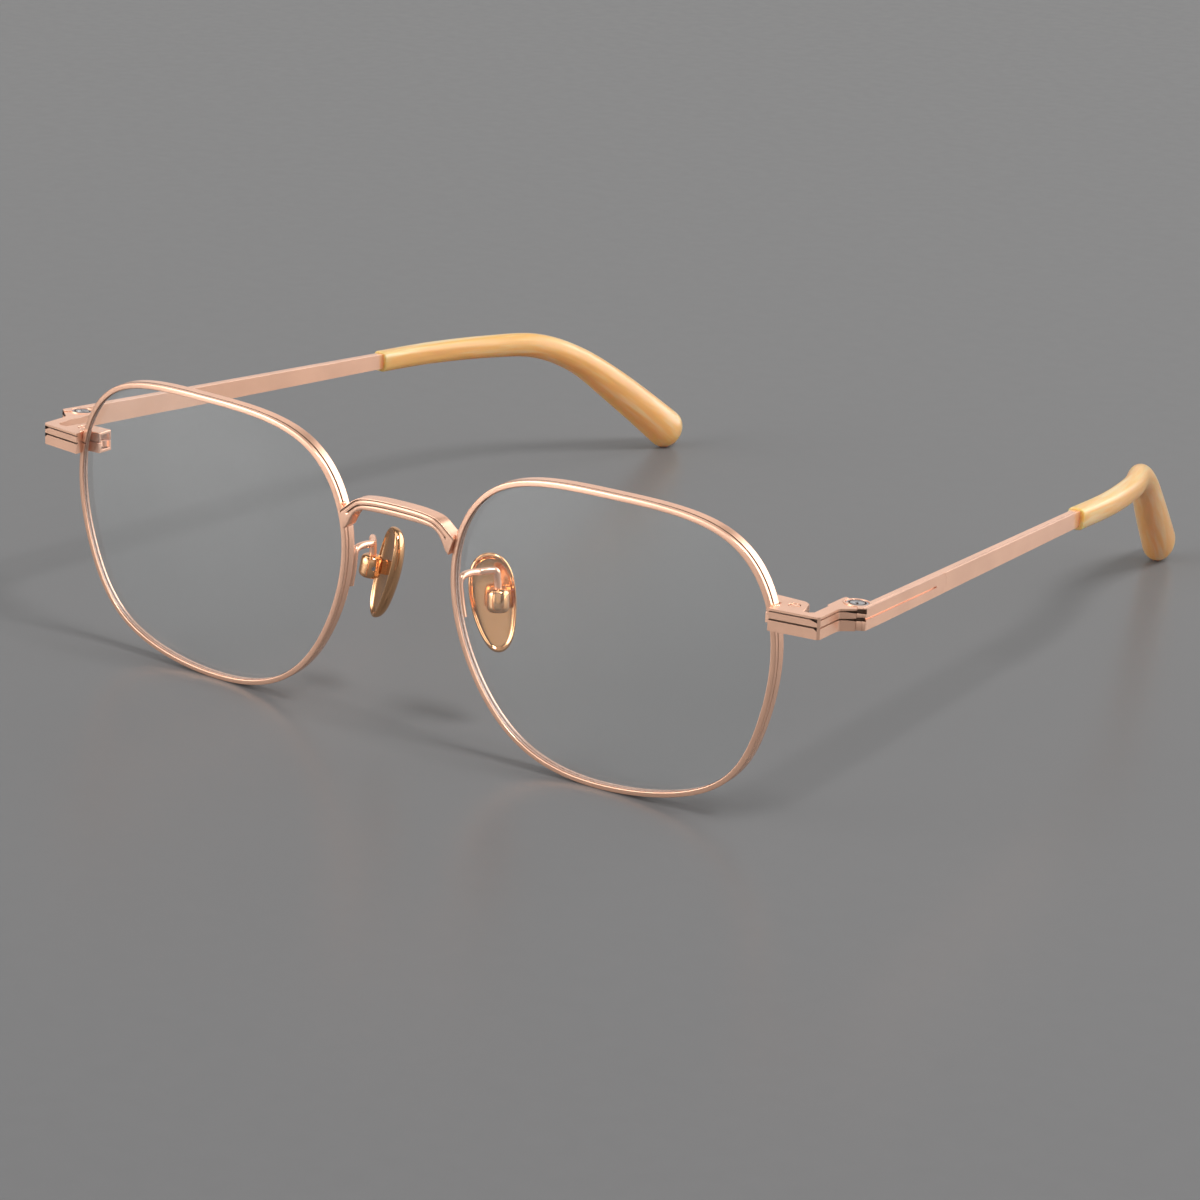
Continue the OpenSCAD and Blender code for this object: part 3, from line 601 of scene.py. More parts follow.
def lens_edge_painted_reflection():
    """The lens's rough ground edge, with a painted reflection of the rim as its drifting rose
    colour.
    """
    s = Shader("Ground edge")
    rim_reflection_tones = ((0.3, (0.42, 0.26, 0.19)), (0.7, (0.62, 0.42, 0.34)))
    s.set("Base Color", s.ramp(s.spots(2500), rim_reflection_tones))
    s.set("Transmission Weight", 0.12)
    s.set("Roughness", 0.4)
    s.set("IOR", LENS_IOR)
    return s.material


def floor_paint(tone):
    """Matt grey board with a soft sheen."""
    s = Shader("Grey board")
    s.clouded(tone, 0.985, 1.015, s.spots(300, 3.0))
    s.set("Roughness", s.span(s.spots(300, 3.0), 0.28, 0.32))
    s.set("Specular IOR Level", 0.11)
    s.set("Normal", s.bump(s.spots(1500), 0.05, 0.02 * MM))
    return s.material


def finish(name):
    """The named finish, made once from the panel's colours."""
    tones = bpy.context.scene.glasses_finishes
    makers = {
        "Rose gold": lambda: polished("Rose gold", tones.rose, 0.19, 0.23, 0.1, 0.65),
        "Pad gold": lambda: polished("Pad gold", tones.gold, 0.09, 0.13, 0.05, 0.9),
        "Groove shade": lambda: painted_groove_shade(tones.rose),
        "Screw steel": lambda: steel(tones.steel),
        "Honey acetate": lambda: acetate(tones.honey, tones.cream),
        "Clear lens": clear_lens,
        "Ground edge": lens_edge_painted_reflection,
        "Grey board": lambda: floor_paint(tones.floor),
    }
    return bpy.data.materials.get(name) or makers[name]()


# Geometry Nodes

class Tree(Nodes):
    """Builds a Geometry Nodes tree."""

    def __init__(self, name):
        super().__init__(bpy.data.node_groups.new(name, "GeometryNodeTree"))
        for way in ("INPUT", "OUTPUT"):
            self.tree.interface.new_socket("Geometry", in_out=way, socket_type="NodeSocketGeometry")
        self.start = self.add("NodeGroupInput")
        self.ids = {}

    def number(self, name, kind="NodeSocketFloat"):
        item = self.tree.interface.new_socket(name, in_out="INPUT", socket_type=kind)
        self.ids[name] = item.identifier
        return self.start.outputs[name]

    def math(self, operation, a, b=0.0):
        return self.add("ShaderNodeMath", {0: a, 1: b}, operation=operation).outputs[0]

    def curve(self, edges):
        return self.add("GeometryNodeMeshToCurve", {"Mesh": edges}).outputs[0]

    def swept(self, path, profile):
        """A closed sweep of a profile along a path."""
        inputs = {"Curve": path, "Profile Curve": profile, "Fill Caps": True}
        return self.add("GeometryNodeCurveToMesh", inputs).outputs[0]

    def finish(self, geometry, material):
        """Ends the tree with plain geometry in one finish."""
        real = self.add("GeometryNodeRealizeInstances", {"Geometry": geometry}).outputs[0]
        done = self.add("GeometryNodeSetMaterial", {"Geometry": real, "Material": material})
        self.add("NodeGroupOutput", {0: done.outputs[0]})

    def on(self, obj, **values):
        """Runs the tree on an object and leaves a plain mesh."""
        mod = obj.modifiers.new(self.tree.name, "NODES")
        mod.node_group = self.tree
        for name, value in values.items():
            mod[self.ids[name]] = value
        return applied(obj)


def polyline(name, points, loop=False):
    """A mesh of edges through points, in metres."""
    n = len(points)
    edges = [(i, i + 1) for i in range(n - 1)]
    if loop:
        edges.append((n - 1, 0))
    return drawn(name, points, edges)


def rim_tree(material):
    """Sweeps a section along the flat outline, then bends it on to the curved face."""
    tree = Tree("Rim sweep")
    section = tree.number("Section", "NodeSocketObject")
    side, centre, height, face, radius, wrap, lean = (
        tree.number(n) for n in ("Side", "Centre", "Height", "Face", "Radius", "Wrap", "Lean"))
    path = tree.curve(tree.start.outputs["Geometry"])
    level = tree.add("GeometryNodeSetCurveNormal", {"Curve": path}, mode="Z_UP").outputs[0]
    profile = tree.add("GeometryNodeObjectInfo", {"Object": section}).outputs["Geometry"]
    sweep = tree.swept(level, tree.curve(profile))
    place = tree.add("GeometryNodeInputPosition").outputs[0]
    u, v, back = tree.add("ShaderNodeSeparateXYZ", {0: place}).outputs
    m = tree.math
    x = m("ADD", u, centre)
    z = m("ADD", v, height)
    far_off = m("ADD", m("MULTIPLY", u, u), m("MULTIPLY", v, v))
    bow = m("DIVIDE", far_off, m("MULTIPLY", radius, 2.0))
    b = m("ADD", m("ADD", bow, m("MULTIPLY", m("TANGENT", wrap), x)), back)
    cos = m("COSINE", lean)
    sin = m("SINE", lean)
    y = m("ADD", face, m("SUBTRACT", m("MULTIPLY", b, cos), m("MULTIPLY", z, sin)))
    up = m("ADD", m("MULTIPLY", z, cos), m("MULTIPLY", b, sin))
    spot = tree.add("ShaderNodeCombineXYZ", {0: m("MULTIPLY", x, side), 1: y, 2: up}).outputs[0]
    bent = tree.add("GeometryNodeSetPosition", {"Geometry": sweep, "Position": spot})
    tree.finish(bent.outputs[0], material)
    return tree


def wire_tree(material):
    """Makes a round wire along a path."""
    tree = Tree("Round wire")
    size = {"Resolution": 24, "Radius": tree.number("Radius")}
    path = tree.curve(tree.start.outputs["Geometry"])
    ring = tree.add("GeometryNodeCurvePrimitiveCircle", size).outputs[0]
    tree.finish(tree.swept(path, ring), material)
    return tree


def bead_tree(material):
    """Sets a flattened solder bead on each point."""
    tree = Tree("Solder beads")
    size = {"Segments": 20, "Rings": 12, "Radius": tree.number("Radius")}
    ball = tree.add("GeometryNodeMeshUVSphere", size).outputs["Mesh"]
    flat = tree.add("GeometryNodeTransform", {"Geometry": ball, "Scale": (1.0, 1.0, 0.8)})
    places = {"Points": tree.start.outputs["Geometry"], "Instance": flat.outputs[0]}
    beads = tree.add("GeometryNodeInstanceOnPoints", places)
    tree.finish(beads.outputs[0], material)
    return tree


class GLASSES_OT_rims(bpy.types.Operator):
    """Sweep each rim's section round its lens."""
    bl_idname = "glasses.rims"
    bl_label = "Rims"

    def execute(self, context):
        face = context.scene.glasses_face
        half = face.wall / 2
        deep = half - 0.2
        rnd = face.rim_round
        # Section of the rim: distance out from the middle line, distance back from the front
        section = rounded(((-half, 0, rnd), (-half, 0.65, 0.03), (0.3 - half, 1.0, 0.04),
                           (-half, 1.35, 0.03), (-half, face.depth, rnd),
                           (half, face.depth, rnd * 1.6), (half, 0.76, 0.04), (deep, 0.64, 0.02),
                           (deep, 0.56, 0.02), (half, 0.46, 0.05), (half, 0, rnd)))
        outline = [(p.x * MM, -p.y * MM, 0) for p in section]
        profile = polyline("Rim section", outline, loop=True)
        turns = len(OUTLINE)
        # Half of the cut's width, in control points
        gap = 0.15 / 20
        steps = 320
        path = []
        for i in range(steps + 1):
            u, v = curve_at(OUTLINE, face.cut_turn + gap + (turns - 2 * gap) * i / steps)
            path.append((u * MM, v * MM, 0))
        tree = rim_tree(finish("Rose gold"))
        for name, side in SIDES:
            rim = polyline(name + "_eyewire", path)
            tree.on(rim, Section=profile, Side=float(side), Wrap=face.wrap, Lean=face.lean,
                    Centre=(face.gap + face.lens_w) / 2 * MM, Height=face.centre_z * MM,
                    Face=(face.front_y - MID) * MM, Radius=face.curve_r * MM)
            outward(rim.data)
            finished(rim, name + "_rim")
            # Shade is painted in the groove only above the end pieces
            grooved(rim, share=0.3, above=31.2)
        bpy.data.objects.remove(profile)
        return {"FINISHED"}


class GLASSES_OT_lenses(bpy.types.Operator):
    """Build the two clear lenses with bevelled edges."""
    bl_idname = "glasses.lenses"
    bl_label = "Lenses"

    def execute(self, context):
        face = context.scene.glasses_face
        edge = -face.wall / 2 - 0.05
        bevel = 0.25
        front = (face.depth - face.lens_thick) / 2
        back = front + face.lens_thick
        mid = face.depth / 2
        rings = 8
        inner = [f / rings for f in range(1, rings)]
        # Share of the outline, distance out from it, distance back from the front
        out = [(share, edge, front) for share in inner]
        out += [(1, edge, front), (1, edge, mid - bevel), (1, edge + bevel, mid),
                (1, edge, mid + bevel), (1, edge, back)]
        out += [(share, edge, back) for share in reversed(inner)]
        count = 160
        turns = len(OUTLINE)
        # Faces between the front's last ring and the back's first one, which take the painted rim
        # reflection
        ground = slice(len(inner) * count, (len(inner) + 4) * count)
        for name, side in SIDES:
            points = []
            for share, off, depth in out:
                for i in range(count):
                    u, v = offset_at(OUTLINE, turns * i / count, off)
                    points.append(on_face(face, share * u, share * v, depth))
            lens = solid(name + "_clear_lens", points, loft_faces(len(out), count), side)
            lens.data.materials.append(finish("Clear lens"))
            lens.data.materials.append(finish("Ground edge"))
            for polygon in lens.data.polygons[ground]:
                polygon.material_index = 1
            finished(lens, name + "_lens", "Clear lens")
        return {"FINISHED"}


class GLASSES_OT_bridge(bpy.types.Operator):
    """Loft the grooved bridge bar from one rim over the nose to the other."""
    bl_idname = "glasses.bridge"
    bl_label = "Bridge"

    def execute(self, context):
        face = context.scene.glasses_face
        y0 = face.bridge_front
        y1 = y0 + face.bridge_depth
        # Top and bottom of the bar, from the middle line out to the solder joint
        top = ((0, 33.1), (3.0, 33.04), (5.1, 32.85), (6.5, 32.58), (7.35, 32.16), (8.1, 31.57),
               (8.9, 30.93), (9.45, 30.5), (9.61, 30.2))
        low = ((0, 31.36), (2.9, 31.33), (5.0, 31.23), (6.05, 31.08), (6.8, 30.7), (7.4, 30.05),
               (7.85, 29.3), (8.35, 28.35), (8.8, 27.92))
        r = face.bridge_round
        deep = face.groove_depth
        steps = 60
        points = []
        last = len(top) - 1
        # The lower groove dies out before the joint
        groove_end = 6.1
        fade = 0.5
        for i in range(-steps, steps + 1):
            t = abs(i) / steps * last
            sign = -1 if i < 0 else 1
            a = through(top, t)
            b = through(low, t)
            h = (a - b).length
            low_deep = deep * min(1, max(0, (groove_end - t) / fade)) + 0.001
            # Distance down from the top, place from front to back, rounding
            section = rounded(((0, y1, r), (0, y0 + 0.12, 0.04), (0.13, y0 + 0.12, 0.02),
                               (0.15, y0 + deep, 0.01), (0.22, y0 + deep, 0.01),
                               (0.25, y0 + 0.15, 0.02), (0.42, y0, 0.06), (0.80, y0, 0.03),
                               (0.82, y0 + low_deep, 0.01), (0.91, y0 + low_deep, 0.01),
                               (0.94, y0 + low_deep * 0.5, 0.02), (1.10, y0, 0.06), (h, y0, r),
                               (h, y1, r)))
            for p in section:
                q = a + (b - a) / h * p.x
                points.append((sign * q.x, p.y, q.y))
        bar = solid("bridge_bar", points, loft_faces(2 * steps + 1, len(section)))
        finished(bar, "bridge")
        # Shade is painted in the bridge's grooves
        grooved(bar)
        return {"FINISHED"}


def wedge(matrix, start, end, heights, depth):
    """A closed wedge cutter along a face, from start to end in plan, with (top, bottom) at both."""
    a = Vector(start)
    b = Vector(end)
    along = (b - a).normalized()
    out = Vector((along.y, -along.x))
    points = []
    for p, (top, bottom) in zip((a, b), heights):
        deep = p - out * depth
        clear = p + out * 0.6
        for q, z in ((deep, bottom), (clear, bottom), (clear, top), (deep, top)):
            points.append(matrix @ Vector((q.x, q.y, z)))
    return closed("Wedge", points, loft_faces(2, 4))


def between(a, b, share):
    """A point part of the way from a to b."""
    return a[0] + (b[0] - a[0]) * share, a[1] + (b[1] - a[1]) * share


class GLASSES_OT_ends(bpy.types.Operator):
    """Round off the end pieces and the rim locks with their screws."""
    bl_idname = "glasses.ends"
    bl_label = "End pieces"

    def execute(self, context):
        sizes = context.scene.glasses_hinge
        for name, side in SIDES:
            level = hinge_matrix(side) @ Matrix.Rotation(sizes.end_level, 4, "X")
            bar = copy_of(f"{name}_end_piece", f"{name}_end_bar", side * sizes.end_in * MM)
            high_start = between(CORNER, FACE_END, 0.17)
            low_start = between(CORNER, FACE_END, 0.06)
            hinge_end = between(SEAM, TEMPLE_CORNER, 0.3)
            # Both grooves widen towards the corner, and again along the facet; shade is painted in
            # each cut
            for start, end, heights, depth in (
                    (high_start, CORNER, ((-0.31, -0.42), (-0.26, -0.8)), 0.35),
                    (low_start, CORNER, ((-1.36, -1.6), (-1.36, -1.9)), 0.35),
                    (FACET, hinge_end, ((-0.3, -0.42), (-0.2, -0.68)), 0.5),
                    (FACET, hinge_end, ((-1.34, -1.5), (-1.28, -1.72)), 0.5)):
                cut(bar, wedge(level, start, end, heights, depth))
            bevelled(bar, sizes.edge * 1.3)
            finished(bar, f"{name}_end_piece")
            grooved(bar)
            for half in ("upper", "lower"):
                lock = copy_of(f"{name}_{half}_rim_lock", f"{name}_{half}_lock")
                bevelled(lock, sizes.edge * 1.6)
                finished(lock, f"{name}_{half}_rim_lock")
                # Shade is painted in the lock's pocket
                grooved(lock, reach=1.6)
            screw = copy_of(f"{name}_rim_screw", f"{name}_rim_lock_screw")
            bevelled(screw, sizes.screw_edge, 2)
            finished(screw, f"{name}_rim_screw", "Rose gold")
            self.hinge_screw(sizes, name, side)
        return {"FINISHED"}

    def hinge_screw(self, sizes, name, side):
        """The cross screw: a ring and a cross cut into its steel middle, with painted shade in those
        cuts, and a bright rose gold rim outside the ring.
        """
        screw = copy_of(f"{name}_hinge_screw", f"{name}_cross_screw")
        for layer in ("Screw steel", "Groove shade", "Rose gold"):
            screw.data.materials.append(finish(layer))
        place = hinge_matrix(side)
        count = 48
        inner = 0.98
        outer = 1.2
        bottom = -0.24
        points = []
        for r, z in ((inner, bottom), (inner, 1), (outer, 1), (outer, bottom)):
            points += [place @ Vector((*p, z)) for p in circle(r, count)]
        faces = loft_faces(4, count, ends=False)
        last = 3 * count
        faces += [(last + k, last + (k + 1) % count, (k + 1) % count, k) for k in range(count)]
        # The ring and the cross get painted shade in their cuts
        cut(screw, closed("Ring", points, faces))
        for turn in (25, 115):
            cross = place @ Matrix.Rotation(math.radians(turn), 4, "Z")
            cut(screw, block("Cross", (-0.74, -0.15, -0.4), (0.74, 0.15, 1), cross))
        bevelled(screw, sizes.screw_edge, 2)
        finished(screw, f"{name}_hinge_screw", "Screw steel")
        back = place.inverted()
        for face in screw.data.polygons:
            spot = back @ face.center
            if math.hypot(spot.x, spot.y) > outer - 0.01 and face.material_index == 0:
                face.material_index = 2


class GLASSES_OT_temples(bpy.types.Operator):
    """Round off the temple bars and their grooved plates."""
    bl_idname = "glasses.temples"
    bl_label = "Temples"

    def execute(self, context):
        sizes = context.scene.glasses_hinge
        temples = context.scene.glasses_temples
        for name, side in SIDES:
            bar = copy_of(f"{name}_temple", f"{name}_temple_bar")
            hinge = hinge_matrix(side)
            outer = Matrix.Translation((*TEMPLE_CORNER, 0)) @ Matrix.Rotation(sizes.toe_in, 4, "Z")
            # The line starts behind the plate's round end, and shade is painted in its cut
            cut(bar, block("Layer line", (-temples.line_in - temples.line_w, 26.5, -0.07),
                           (-temples.line_in, temples.bar_len + 1, 1), hinge @ outer))
            plate = copy_of(f"{name}_temple_plate", f"{name}_grooved_plate")
            start = between(FACET, SEAM, 0.8)
            # Shade is painted in each wedge cut
            for heights in (((-0.2, -0.68), (-0.16, -0.8)), ((-1.28, -1.72), (-1.25, -1.78))):
                for part in (bar, plate):
                    cut(part, wedge(hinge, start, TEMPLE_CORNER, heights, 0.45))
            bevelled(bar, sizes.edge * 2)
            bevelled(plate, sizes.edge * 1.3)
            finished(bar, f"{name}_temple")
            finished(plate, f"{name}_temple_plate")
            # Shade is painted in the bar's grooves as well
            grooved(bar)
        return {"FINISHED"}


class GLASSES_OT_tips(bpy.types.Operator):
    """Loft the acetate temple tips."""
    bl_idname = "glasses.tips"
    bl_label = "Temple tips"

    def execute(self, context):
        hinge = context.scene.glasses_hinge
        sizes = context.scene.glasses_temples
        v = sizes.bar_len
        half_bar = 0.625
        middle = 1.27
        reach = v - TEMPLE_CORNER[1]
        bar_x = hinge.x + TEMPLE_CORNER[0] - reach * math.tan(hinge.toe_in) - half_bar
        end = Vector((bar_x, hinge.y + v * math.cos(hinge.slope),
                      hinge.z - v * math.sin(hinge.slope) - middle))
        straight = sizes.straight
        droop = sizes.droop
        line = [end + Vector(p) for p in (
            (0.1, -1.2, 0.1), (-0.9, straight * 0.33, -0.85), (-3.4, straight * 0.7, -1.95),
            (-6.6, straight * 0.97, -3.1), (-9.5, straight + droop * 0.27, -6.7),
            (-12.3, straight + droop * 0.6, -13.1))]
        line.append(Vector((end.x - 15.3, end.y + straight + droop, 3.22)))
        # Thickness and height at each of those points
        sections = ((2.7, 3.2), (2.8, 3.4), (3.05, 3.65), (3.4, 4.0), (4.1, 4.5), (4.8, 5.7),
                    (5.2, 6.6))
        last = len(line) - 1
        sides = 40
        # Place along the line, size, distance ahead: rounded mouth, sleeve, domed end
        steps = [(0, 0.80, -0.06), (0, 0.92, -0.12), (0, 0.975, -0.08), (0, 1, 0.05)]
        steps += [(last * i / sizes.rings, 1, 0) for i in range(2, sizes.rings + 1)]
        dome_rings = 12
        for k in range(1, dome_rings + 1):
            a = math.radians(87 * k / dome_rings)
            steps.append((last, math.cos(a), 3.1 * math.sin(a)))
        points = []
        flow = []
        for t, grow, ahead in steps:
            along = through(line, min(t + 0.02, last)) - through(line, max(t - 0.02, 0))
            along.normalize()
            across = along.cross(Vector((0, 0, 1))).normalized()
            up = across.cross(along)
            size = through(sections, t) * grow
            power = 0.55 + 0.45 * min(1, t / 3)
            mid = through(line, t) + along * ahead
            for k in range(sides):
                a = 2 * math.pi * k / sides
                sx = math.copysign(abs(math.cos(a)) ** power, math.cos(a)) / 2
                sy = math.copysign(abs(math.sin(a)) ** power, math.sin(a)) / 2
                points.append(mid + across * sx * size.x + up * sy * size.y)
                flow += (math.cos(a), math.sin(a), t * 0.5)
        for name, side in SIDES:
            tip = solid(f"{name}_acetate_tip", points, loft_faces(len(steps), sides), side)
            tip.data.attributes.new("flow", "FLOAT_VECTOR", "POINT").data.foreach_set("vector", flow)
            finished(tip, f"{name}_temple_tip", "Honey acetate", 50)
        return {"FINISHED"}


class GLASSES_OT_pads(bpy.types.Operator):
    """Build the dished nose pads with their arms and boxes."""
    bl_idname = "glasses.pads"
    bl_label = "Nose pads"

    def execute(self, context):
        pads = context.scene.glasses_pads
        dome = pads.dome
        dish = pads.dish
        # Share of the outline and drop from the dome's top, out over the face
        steps = [(share, dome - drop) for share, drop in (
            (0.05, 0), (0.2, 0.01), (0.4, 0.06), (0.55, 0.14), (0.68, 0.25), (0.79, 0.41),
            (0.87, 0.6), (0.93, 0.84), (0.97, 1.12), (0.99, 1.4), (1.0, 1.66))]
        # Share of the outline and height, round the rolled edge and into the dish
        steps += [(0.997, 0.3), (0.985, 0.13), (0.965, 0.03), (0.945, 0.0), (0.925, 0.04),
                  (0.91, 0.13), (0.89, 0.24), (0.85, 0.34), (0.78, 0.42), (0.66, dish - 0.1),
                  (0.5, dish - 0.04), (0.25, dish - 0.01), (0.05, dish)]
        count = 96
        wide = pads.width / PAD_DRAWN[0]
        high = pads.height / PAD_DRAWN[1]
        # Middle of the outline, from the pin
        u0, v0 = 0.8, -0.4
        shell = []
        for share, height in steps:
            for i in range(count):
                u, v = curve_at(PAD_OUTLINE, len(PAD_OUTLINE) * i / count)
                shell.append(Vector((u0 + u * wide * share, v0 + v * high * share,
                                     pads.off + height)))
        wires = wire_tree(finish("Rose gold"))
        lug_edge = 0.06
        box_edge = 0.08
        for name, side in SIDES:
            place = pad_matrix(side)
            pad = closed(name + "_pad_shell", [place @ p for p in shell],
                         loft_faces(len(steps), count))
            lug = copy_of(f"{name}_nose_pad", "Lug")
            keep = block("Keep", (-0.6, -1.4, -1.2), (0.6, 1.4, pads.off + dish + 0.05), place)
            combined(lug, keep, "INTERSECT")
            bevelled(lug, lug_edge, 2)
            combined(pad, lug, "UNION")
            finished(pad, f"{name}_nose_pad", "Pad gold")
            box = bevelled(copy_of(f"{name}_pad_box", f"{name}_pad_barrel"), box_edge)
            finished(box, f"{name}_pad_box", "Pad gold")
            path = [row_point(p, side) for p in self.arm_path(context)]
            wire = polyline(f"{name}_pad_wire", path)
            wires.on(wire, Radius=pads.wire * MM)
            outward(wire.data)
            finished(wire, f"{name}_pad_arm", sharp=50)
        return {"FINISHED"}

    def arm_path(self, context):
        """Middle line of the left pad arm, in millimetres."""
        face = context.scene.glasses_face
        pads = context.scene.glasses_pads

        def behind(t):
            """A place on the back of the rim, sunk in a little, at t in control points."""
            u, v = offset_at(OUTLINE, t, 0.1)
            return on_face(face, u, v, face.depth + pads.wire - 0.12)

        bend = behind(5.24)
        rise = 1.3
        lean = math.sin(pads.tilt)
        up = Vector((-lean * math.sin(pads.turn), lean * math.cos(pads.turn), math.cos(pads.tilt)))
        end = Vector(PAD_PIN) + up * rise
        line = [behind(5.56), behind(5.40), bend]
        line += [bend + Vector(p) for p in ((0, 0.55, 0.7), (-0.05, 2, 0.8), (0.05, 4, 0.5))]
        line += [end + Vector(p) for p in ((-0.8, -1.1, 3), (-0.2, -0.3, 2.8), (-0.1, -0.05, 1.5))]
        line.append(end)
        steps = 120
        return [through(line, (len(line) - 1) * i / steps) for i in range(steps + 1)]


class GLASSES_OT_details(bpy.types.Operator):
    """Add the solder beads, and give the small inner parts their finish."""
    bl_idname = "glasses.details"
    bl_label = "Solder and inner parts"

    def execute(self, context):
        sizes = context.scene.glasses_hinge
        places = [row_point(p, side) for name, side in SIDES for p in BEADS]
        beads = drawn("solder_beads", places)
        bead_tree(finish("Rose gold")).on(beads, Radius=sizes.bead * MM)
        smooth(beads, 60)
        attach(beads, "front")
        for name, side in SIDES:
            for node in ("hinge_washers", "pad_pin"):
                obj = frame["nodes"][f"{name}_{node}"]
                obj.data.materials.clear()
                obj.data.materials.append(finish("Screw steel"))
        return {"FINISHED"}


# Direction of each bright panel, its brightness, its inner and outer angle in degrees
PANELS = (
    ((-0.58, -0.80, 0.10), 2.9, 22, 42),
    ((0.66, 0.74, 0.12), 3.4, 25, 46),
    ((-0.55, 0.78, 0.34), 0.55, 18, 36),
    ((0.1, -0.15, 0.98), 1.7, 10, 24),
    ((0.53, -0.78, 0.40), 0.6, 18, 40),
    ((-0.53, -0.31, 0.76), 2.6, 8, 22),
    ((0.31, 0.78, 0.51), 1.1, 8, 22),
)
# Brightness between the panels, and the even light that dull surfaces receive in their place
BETWEEN_PANELS = 0.1
EVEN_LIGHT = 0.4
WARM_WHITE = (1.0, 0.99, 0.98, 1)
BACKDROP = (0.25, 0.25, 0.25, 1)
# Name, place, width in metres and watts of each lamp
LAMPS = (
    ("Key softbox", (0.46, -0.08, 0.79), 0.21, 4.3),
    ("Front softbox", (-0.52, -0.72, 0.3), 0.45, 2.4),
)
# The camera's azimuth, elevation and roll in degrees
CAMERA_ANGLES = (34.008, 19.221, 1.914)
# What it looks at, in the solids' millimetres, and its distance from there in metres
CAMERA_AIM = (10.59, 33.694, 12.824)
CAMERA_DISTANCE = 0.55
# Focal length and sensor width in millimetres
CAMERA_LENS = 116.93
CAMERA_SENSOR = 36


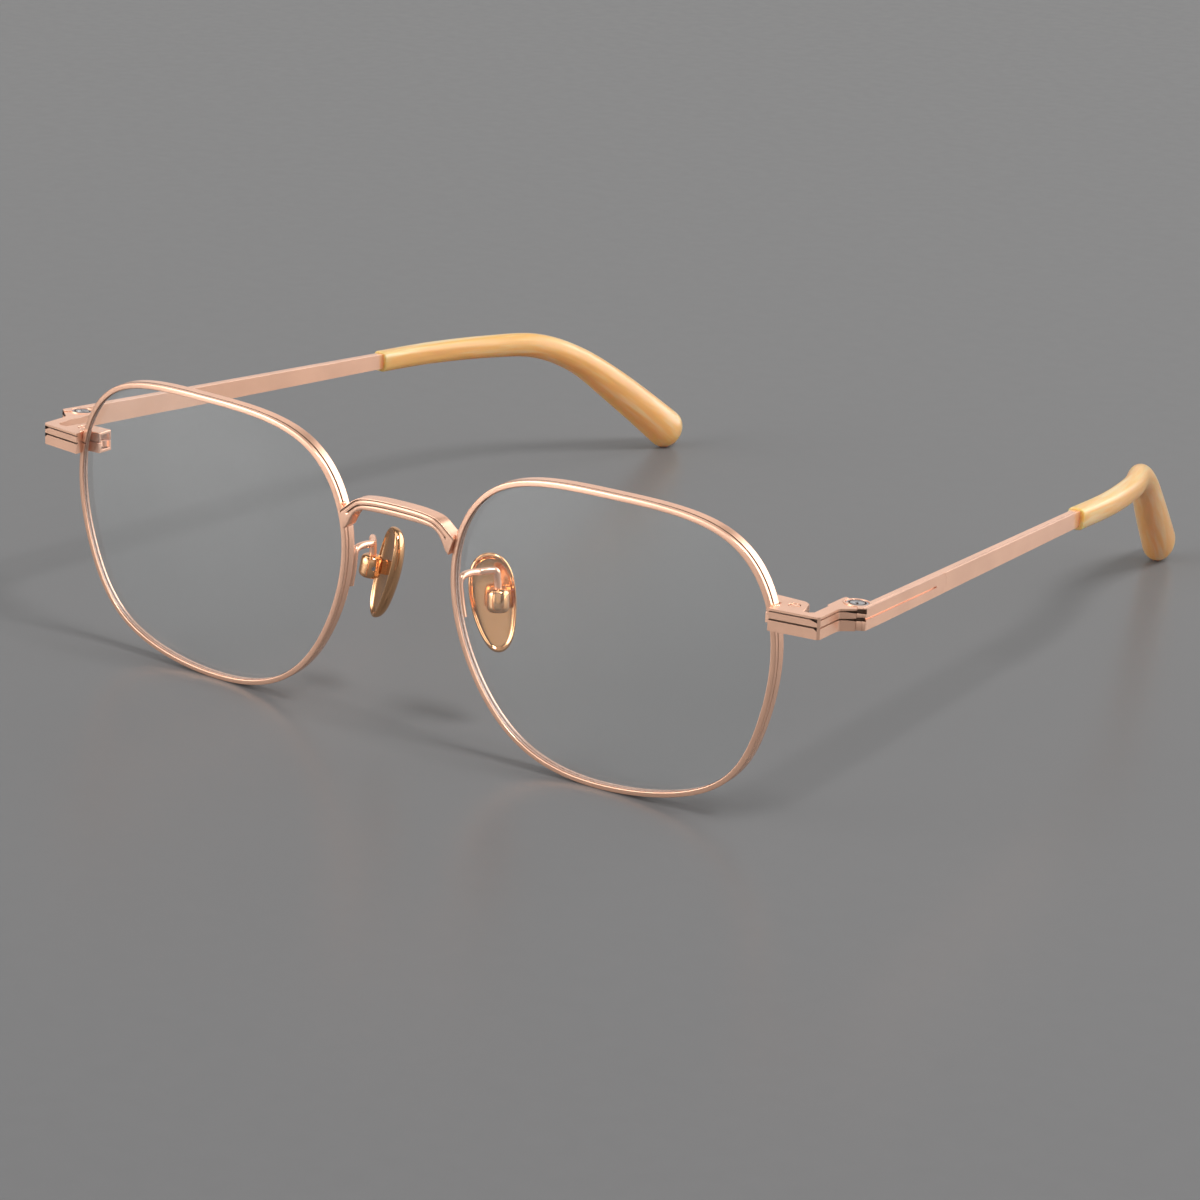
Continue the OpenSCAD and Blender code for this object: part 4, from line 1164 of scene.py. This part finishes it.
class GLASSES_OT_stage(bpy.types.Operator):
    """Build the floor, the backdrop, the lamps and the camera."""
    bl_idname = "glasses.stage"
    bl_label = "Stage"

    def execute(self, context):
        scene = context.scene
        sides = 96
        radii = (0.02, 0.6, 1.5, 4.0)
        points = [(*p, 0) for r in radii for p in circle(r, sides)]
        faces = loft_faces(len(radii), sides, ends=False)
        faces.append(tuple(range(sides - 1, -1, -1)))
        floor = drawn("studio_floor", points, faces=[f[::-1] for f in faces])
        floor.data.materials.append(finish("Grey board"))
        self.surroundings(scene)
        self.lamps(scene)
        self.camera(scene)
        return {"FINISHED"}

    def surroundings(self, scene):
        """A plain grey backdrop, with large soft panels that only glossy surfaces reflect."""
        world = bpy.data.worlds.new("Studio")
        scene.world = world
        world.use_nodes = True
        w = Nodes(world.node_tree)
        way = w.add("ShaderNodeTexCoord").outputs["Generated"]
        total = 0.0
        for direction, bright, inner, outer in PANELS:
            both = {0: way, 1: Vector(direction).normalized()}
            near = w.add("ShaderNodeVectorMath", both, operation="DOT_PRODUCT").outputs["Value"]
            edge = {"Value": near, "From Min": math.cos(math.radians(outer)),
                    "From Max": math.cos(math.radians(inner)), "To Max": bright}
            soft = w.add("ShaderNodeMapRange", edge, interpolation_type="SMOOTHSTEP")
            total = w.add("ShaderNodeMath", {0: total, 1: soft.outputs["Result"]}).outputs[0]
        strength = w.add("ShaderNodeMath", {0: total, 1: BETWEEN_PANELS}).outputs[0]
        lit = w.tree.nodes["Background"]
        w.put(lit, "Color", WARM_WHITE)
        w.put(lit, "Strength", strength)
        seen = w.add("ShaderNodeBackground", {"Color": BACKDROP})
        even = w.add("ShaderNodeBackground", {"Color": WARM_WHITE, "Strength": EVEN_LIGHT})
        rays = w.add("ShaderNodeLightPath").outputs
        straight = {0: rays["Is Camera Ray"], 1: rays["Is Transmission Ray"]}
        looked_at = w.add("ShaderNodeMath", straight, operation="MAXIMUM").outputs[0]
        sharp = w.mixed(looked_at, lit.outputs[0], seen.outputs[0])
        surface = w.mixed(rays["Is Diffuse Ray"], sharp, even.outputs[0])
        w.put(w.tree.nodes["World Output"], "Surface", surface)

    def lamps(self, scene):
        """Square lamps that shine on the middle of the glasses."""
        for name, spot, size, power in LAMPS:
            lamp = bpy.data.lights.new(name, "AREA")
            lamp.shape = "SQUARE"
            lamp.size = size
            lamp.energy = power
            obj = bpy.data.objects.new(name, lamp)
            scene.collection.objects.link(obj)
            aim = Vector((0, 0, 0.02)) - Vector(spot)
            turn = aim.to_track_quat("-Z", "Y").to_matrix().to_4x4()
            obj.matrix_world = Matrix.Translation(spot) @ turn

    def camera(self, scene):
        """A camera that sees the glasses from the wearer's front left, a little from above."""
        data = bpy.data.cameras.new("Photo view")
        camera = bpy.data.objects.new("Photo view", data)
        scene.collection.objects.link(camera)
        az, el, roll = (math.radians(a) for a in CAMERA_ANGLES)
        back = Vector((math.sin(az) * math.cos(el), -math.cos(az) * math.cos(el), math.sin(el)))
        target = Vector((CAMERA_AIM[0], CAMERA_AIM[1] - MID, CAMERA_AIM[2])) * MM
        right = (-back).cross(Vector((0, 0, 1))).normalized()
        up = right.cross(-back)
        across = right * math.cos(roll) + up * math.sin(roll)
        upward = up * math.cos(roll) - right * math.sin(roll)
        turn = Matrix((across, upward, back)).transposed().to_4x4()
        camera.matrix_world = Matrix.Translation(target + back * CAMERA_DISTANCE) @ turn
        data.sensor_width = CAMERA_SENSOR
        data.lens = CAMERA_LENS
        data.clip_start = 0.01
        data.clip_end = 20
        scene.camera = camera
        scene.view_settings.view_transform = "Standard"


class GLASSES_PT_panel(bpy.types.Panel):
    """Sizes, finishes and steps of the glasses."""
    bl_idname = "GLASSES_PT_panel"
    bl_label = "Eyeglasses"
    bl_space_type = "VIEW_3D"
    bl_region_type = "UI"
    bl_category = "Eyeglasses"

    def draw(self, context):
        for step in STEPS:
            self.layout.operator(step.bl_idname)
        for attribute, group in GROUPS.items():
            box = self.layout.box()
            box.label(text=group.__doc__)
            for name in group.__annotations__:
                box.prop(getattr(context.scene, attribute), name)


GROUPS = {
    "glasses_face": FaceSizes,
    "glasses_hinge": HingeSizes,
    "glasses_temples": TempleSizes,
    "glasses_pads": PadSizes,
    "glasses_finishes": Finishes,
}
STEPS = (GLASSES_OT_rims, GLASSES_OT_lenses, GLASSES_OT_bridge, GLASSES_OT_ends, GLASSES_OT_temples,
         GLASSES_OT_tips, GLASSES_OT_pads, GLASSES_OT_details, GLASSES_OT_stage)


def register():
    for group in GROUPS.values():
        bpy.utils.register_class(group)
    for attribute, group in GROUPS.items():
        setattr(bpy.types.Scene, attribute, PointerProperty(type=group))
    for step in STEPS:
        bpy.utils.register_class(step)
    bpy.utils.register_class(GLASSES_PT_panel)


def unregister():
    bpy.utils.unregister_class(GLASSES_PT_panel)
    for step in reversed(STEPS):
        bpy.utils.unregister_class(step)
    for attribute in GROUPS:
        delattr(bpy.types.Scene, attribute)
    for group in reversed(list(GROUPS.values())):
        bpy.utils.unregister_class(group)


def main():
    register()
    bpy.ops.glasses.rims()
    bpy.ops.glasses.lenses()
    bpy.ops.glasses.bridge()
    bpy.ops.glasses.ends()
    bpy.ops.glasses.temples()
    bpy.ops.glasses.tips()
    bpy.ops.glasses.pads()
    bpy.ops.glasses.details()
    bpy.ops.glasses.stage()


if __name__ == "__main__":
    main()
